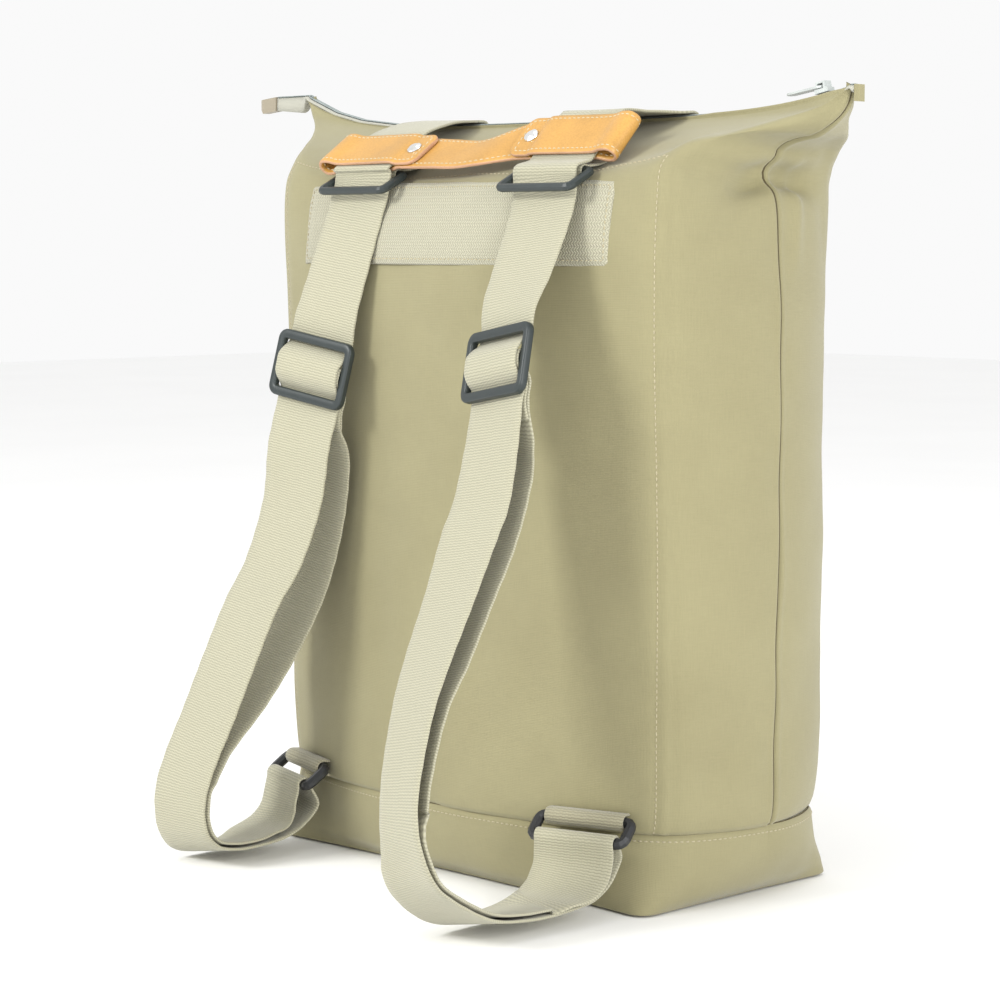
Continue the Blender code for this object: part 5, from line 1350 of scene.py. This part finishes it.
def build_zip(tape, coil):
    left_tip, right_tip = -(CREASE_X + EAR_REACH_LEFT), CREASE_X + EAR_REACH_RIGHT
    left_end, right_end = left_tip - ZIP_FIN_LEFT, right_tip + ZIP_FIN_RIGHT
    xs = np.concatenate([np.linspace(left_end, left_tip, 14), np.linspace(left_tip, right_tip, 190)[1:],
                         np.linspace(right_tip, right_end, 4)[1:]])
    sections = []
    for x in xs:
        # Past the tips the flat tape folds into an upright fin
        top = float(rim_height(x)) + GAP + ZIP_TAPE_THICK
        fold = min(max(left_tip - x, x - right_tip, 0.0) / FIN_FOLD, 1.0)
        width = ZIP_TAPE_WIDTH / 2 * (1 - fold) + FIN_HALF * fold
        share = 0.75 + 0.25 * (x - left_end) / ZIP_FIN_LEFT if x < 0 else 0.8
        depth = ZIP_TAPE_THICK * (1 - fold) + ZIP_FIN_DROP * share * fold
        under = ((-1, -depth), (-0.5, -depth), (0.5, -depth), (1, -depth), (1, -depth * 0.5))
        upper = ((0.92, 0), (0.5, CROWN), (0, 0), (-0.5, CROWN), (-0.92, 0), (-1, -depth * 0.5))
        sections.append([(x, width * out, top + rise) for out, rise in under + upper])
    sections = np.array(sections)
    around = arc_lengths(closed_rings(sections), 1)
    uv = np.stack([around, np.broadcast_to(xs[:, None], around.shape)], axis=-1)
    dress(tube_piece("tape", sections, [tape], uv), "zip_tape", "zip_tape")
    blocks = []
    for sign in (-1, 1):
        shift = 0 if sign < 0 else TOOTH_PITCH / 2
        places = np.arange(left_end + 0.002, right_end - 0.001, TOOTH_PITCH) + shift
        top = rim_height(places) + 2 * GAP + ZIP_TAPE_THICK
        start = np.stack([places, np.full_like(places, sign * ZIP_COIL_WIDTH / 2 * 0.98), top + 0.0003], axis=-1)
        end = np.stack([places, np.full_like(places, -sign * 0.0002), top + 0.0006], axis=-1)
        rings = []
        for t, size in ((0.0, 0.7), (0.15, 1.0), (0.6, 1.0), (0.92, 0.9), (1.0, 0.4)):
            centre = start + (end - start) * t
            rings.append(np.stack(thread_rings(centre, *np.eye(3)[[0, 2]], TOOTH_RADIUS * size), axis=1))
        blocks.append(np.stack(rings, axis=1))
    xs = np.linspace(left_end + 0.001, right_end - 0.001, 240)
    tape_top = rim_height(xs) + 2 * GAP + ZIP_TAPE_THICK
    for sign in (-1, 1):
        line = np.stack([xs, np.full_like(xs, sign * ZIP_COIL_WIDTH / 2 * 0.8), tape_top], axis=-1)
        upward = np.tile([0, 0, 1.0], (len(xs), 1))
        blocks.append(stitch_row(line, upward, pitch=0.0021, share=0.9, radius=0.00030, lift=0.0006))
    stitches_piece("coil_teeth", blocks, coil, "zip_coil", "zip_coil")


# Camera, light and floor

def point_at(thing, place, target):
    back = unit(place - target)
    right = unit(np.cross((0, 0, 1), back))
    up = np.cross(back, right)
    thing.matrix_world = Matrix([[right[k], up[k], back[k], place[k]] for k in range(3)] + [[0, 0, 0, 1]])


def build_studio():
    azimuth, elevation = math.radians(AZIMUTH), math.radians(ELEVATION)
    level = np.array([math.sin(azimuth), -math.cos(azimuth), 0.0])
    back = level * math.cos(elevation) + np.array([0, 0, math.sin(elevation)])
    right = np.array([math.cos(azimuth), math.sin(azimuth), 0.0])
    place = np.array(LOOK_AT) + back * DISTANCE + right * SHIFT_RIGHT + np.cross(right, -back) * SHIFT_UP
    camera = bpy.data.cameras.new("camera")
    camera.lens, camera.sensor_width, camera.clip_start = LENS, SENSOR, 0.01
    made = add_object("camera", camera)
    point_at(made, place, place - back)
    bpy.context.scene.camera = made
    world = bpy.data.worlds.new("studio")
    world.use_nodes = True
    background = world.node_tree.nodes["Background"]
    background.inputs[0].default_value = (1.0, 1.0, 1.0, 1.0)
    background.inputs[1].default_value = WORLD_LIGHT
    bpy.context.scene.world = world
    bpy.context.scene.view_settings.view_transform = "Standard"
    for name, (place, size, power, colour) in LIGHTS.items():
        light = bpy.data.lights.new(name, "AREA")
        light.shape = "RECTANGLE"
        light.size, light.size_y = size
        light.energy, light.color = power, colour
        point_at(add_object(name, light), np.array(place, float), np.array(LOOK_AT, float))
    corners = [(x * FLOOR_HALF, y * FLOOR_HALF, FLOOR_Z) for x, y in ((-1, -1), (1, -1), (1, 1), (-1, 1))]
    floor = add_piece("floor", corners, [(0, 1, 2, 3)], [floor_material()], smooth=False)


def set_finish(node, finish):
    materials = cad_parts[node].data.materials
    materials.clear()
    materials.append(finish)


def main():
    canvas = canvas_material("khaki_canvas", (0.273, 0.249, 0.139))
    band_web = woven_material("beige_band", (0.447, 0.428, 0.318), 0.0018, 0.0019, 0.0004, "slanted")
    strap_web = woven_material("cream_webbing", (0.431, 0.412, 0.298), 0.0019, 0.0016)
    loop_web = woven_material("beige_loops", (0.344, 0.320, 0.221), 0.0019, 0.0016)
    leather = leather_material("tan_leather", (0.540, 0.294, 0.072), 0.42, 0.00005)
    raw_edge = leather_material("leather_edge", (0.492, 0.287, 0.171), 0.75, 0.00015)
    thread = woven_material("pale_thread", (0.590, 0.522, 0.343), 0.0004, 0.0006, 0.0001)
    tan_thread = woven_material("tan_thread", (0.760, 0.624, 0.384), 0.0004, 0.0006, 0.0001)
    tape = woven_material("white_tape", (0.442, 0.435, 0.368), 0.0008, 0.0009, 0.00015)
    end_web = woven_material("folded_tape", (0.400, 0.348, 0.258), 0.0012, 0.0014)
    coil = moulded_material("grey_coil", (0.320, 0.360, 0.352), 0.40)
    plastic = moulded_material("grey_plastic", (0.022, 0.030, 0.030), 0.42)
    black = moulded_material("black_plastic", (0.018, 0.019, 0.021), 0.38)
    steel = moulded_material("rivet_steel", (0.86, 0.86, 0.85), 0.20, 1.0, 0.00004)
    painted = moulded_material("zip_metal", (0.527, 0.561, 0.544), 0.35, 0.35)
    halves = build_body(canvas)
    base = build_base(canvas)
    body_stitches(halves, base, thread)
    # The seam_shade colour is painted shade: dark cords that stand for the shade in the seam grooves
    build_seam_shade_lines(halves, base, leather_material("seam_shade", (0.089, 0.071, 0.031), 0.9, 0.00005))
    build_band(band_web, thread)
    for side in SIDES:
        build_strap(side, strap_web)
        build_ring_tabs(side, strap_web, loop_web)
        build_triglide(side, plastic)
        set_finish(f"ring_upper_{side}", plastic)
        set_finish(f"ring_lower_{side}", black)
        set_finish(f"rivet_{side}", steel)
    set_finish("zip_end_left", end_web)
    set_finish("zip_end_right", canvas)
    build_handle(leather, raw_edge, tan_thread)
    build_zip(tape, coil)
    set_finish("zip_slider", painted)
    set_finish("zip_pull", painted)
    build_studio()


main()
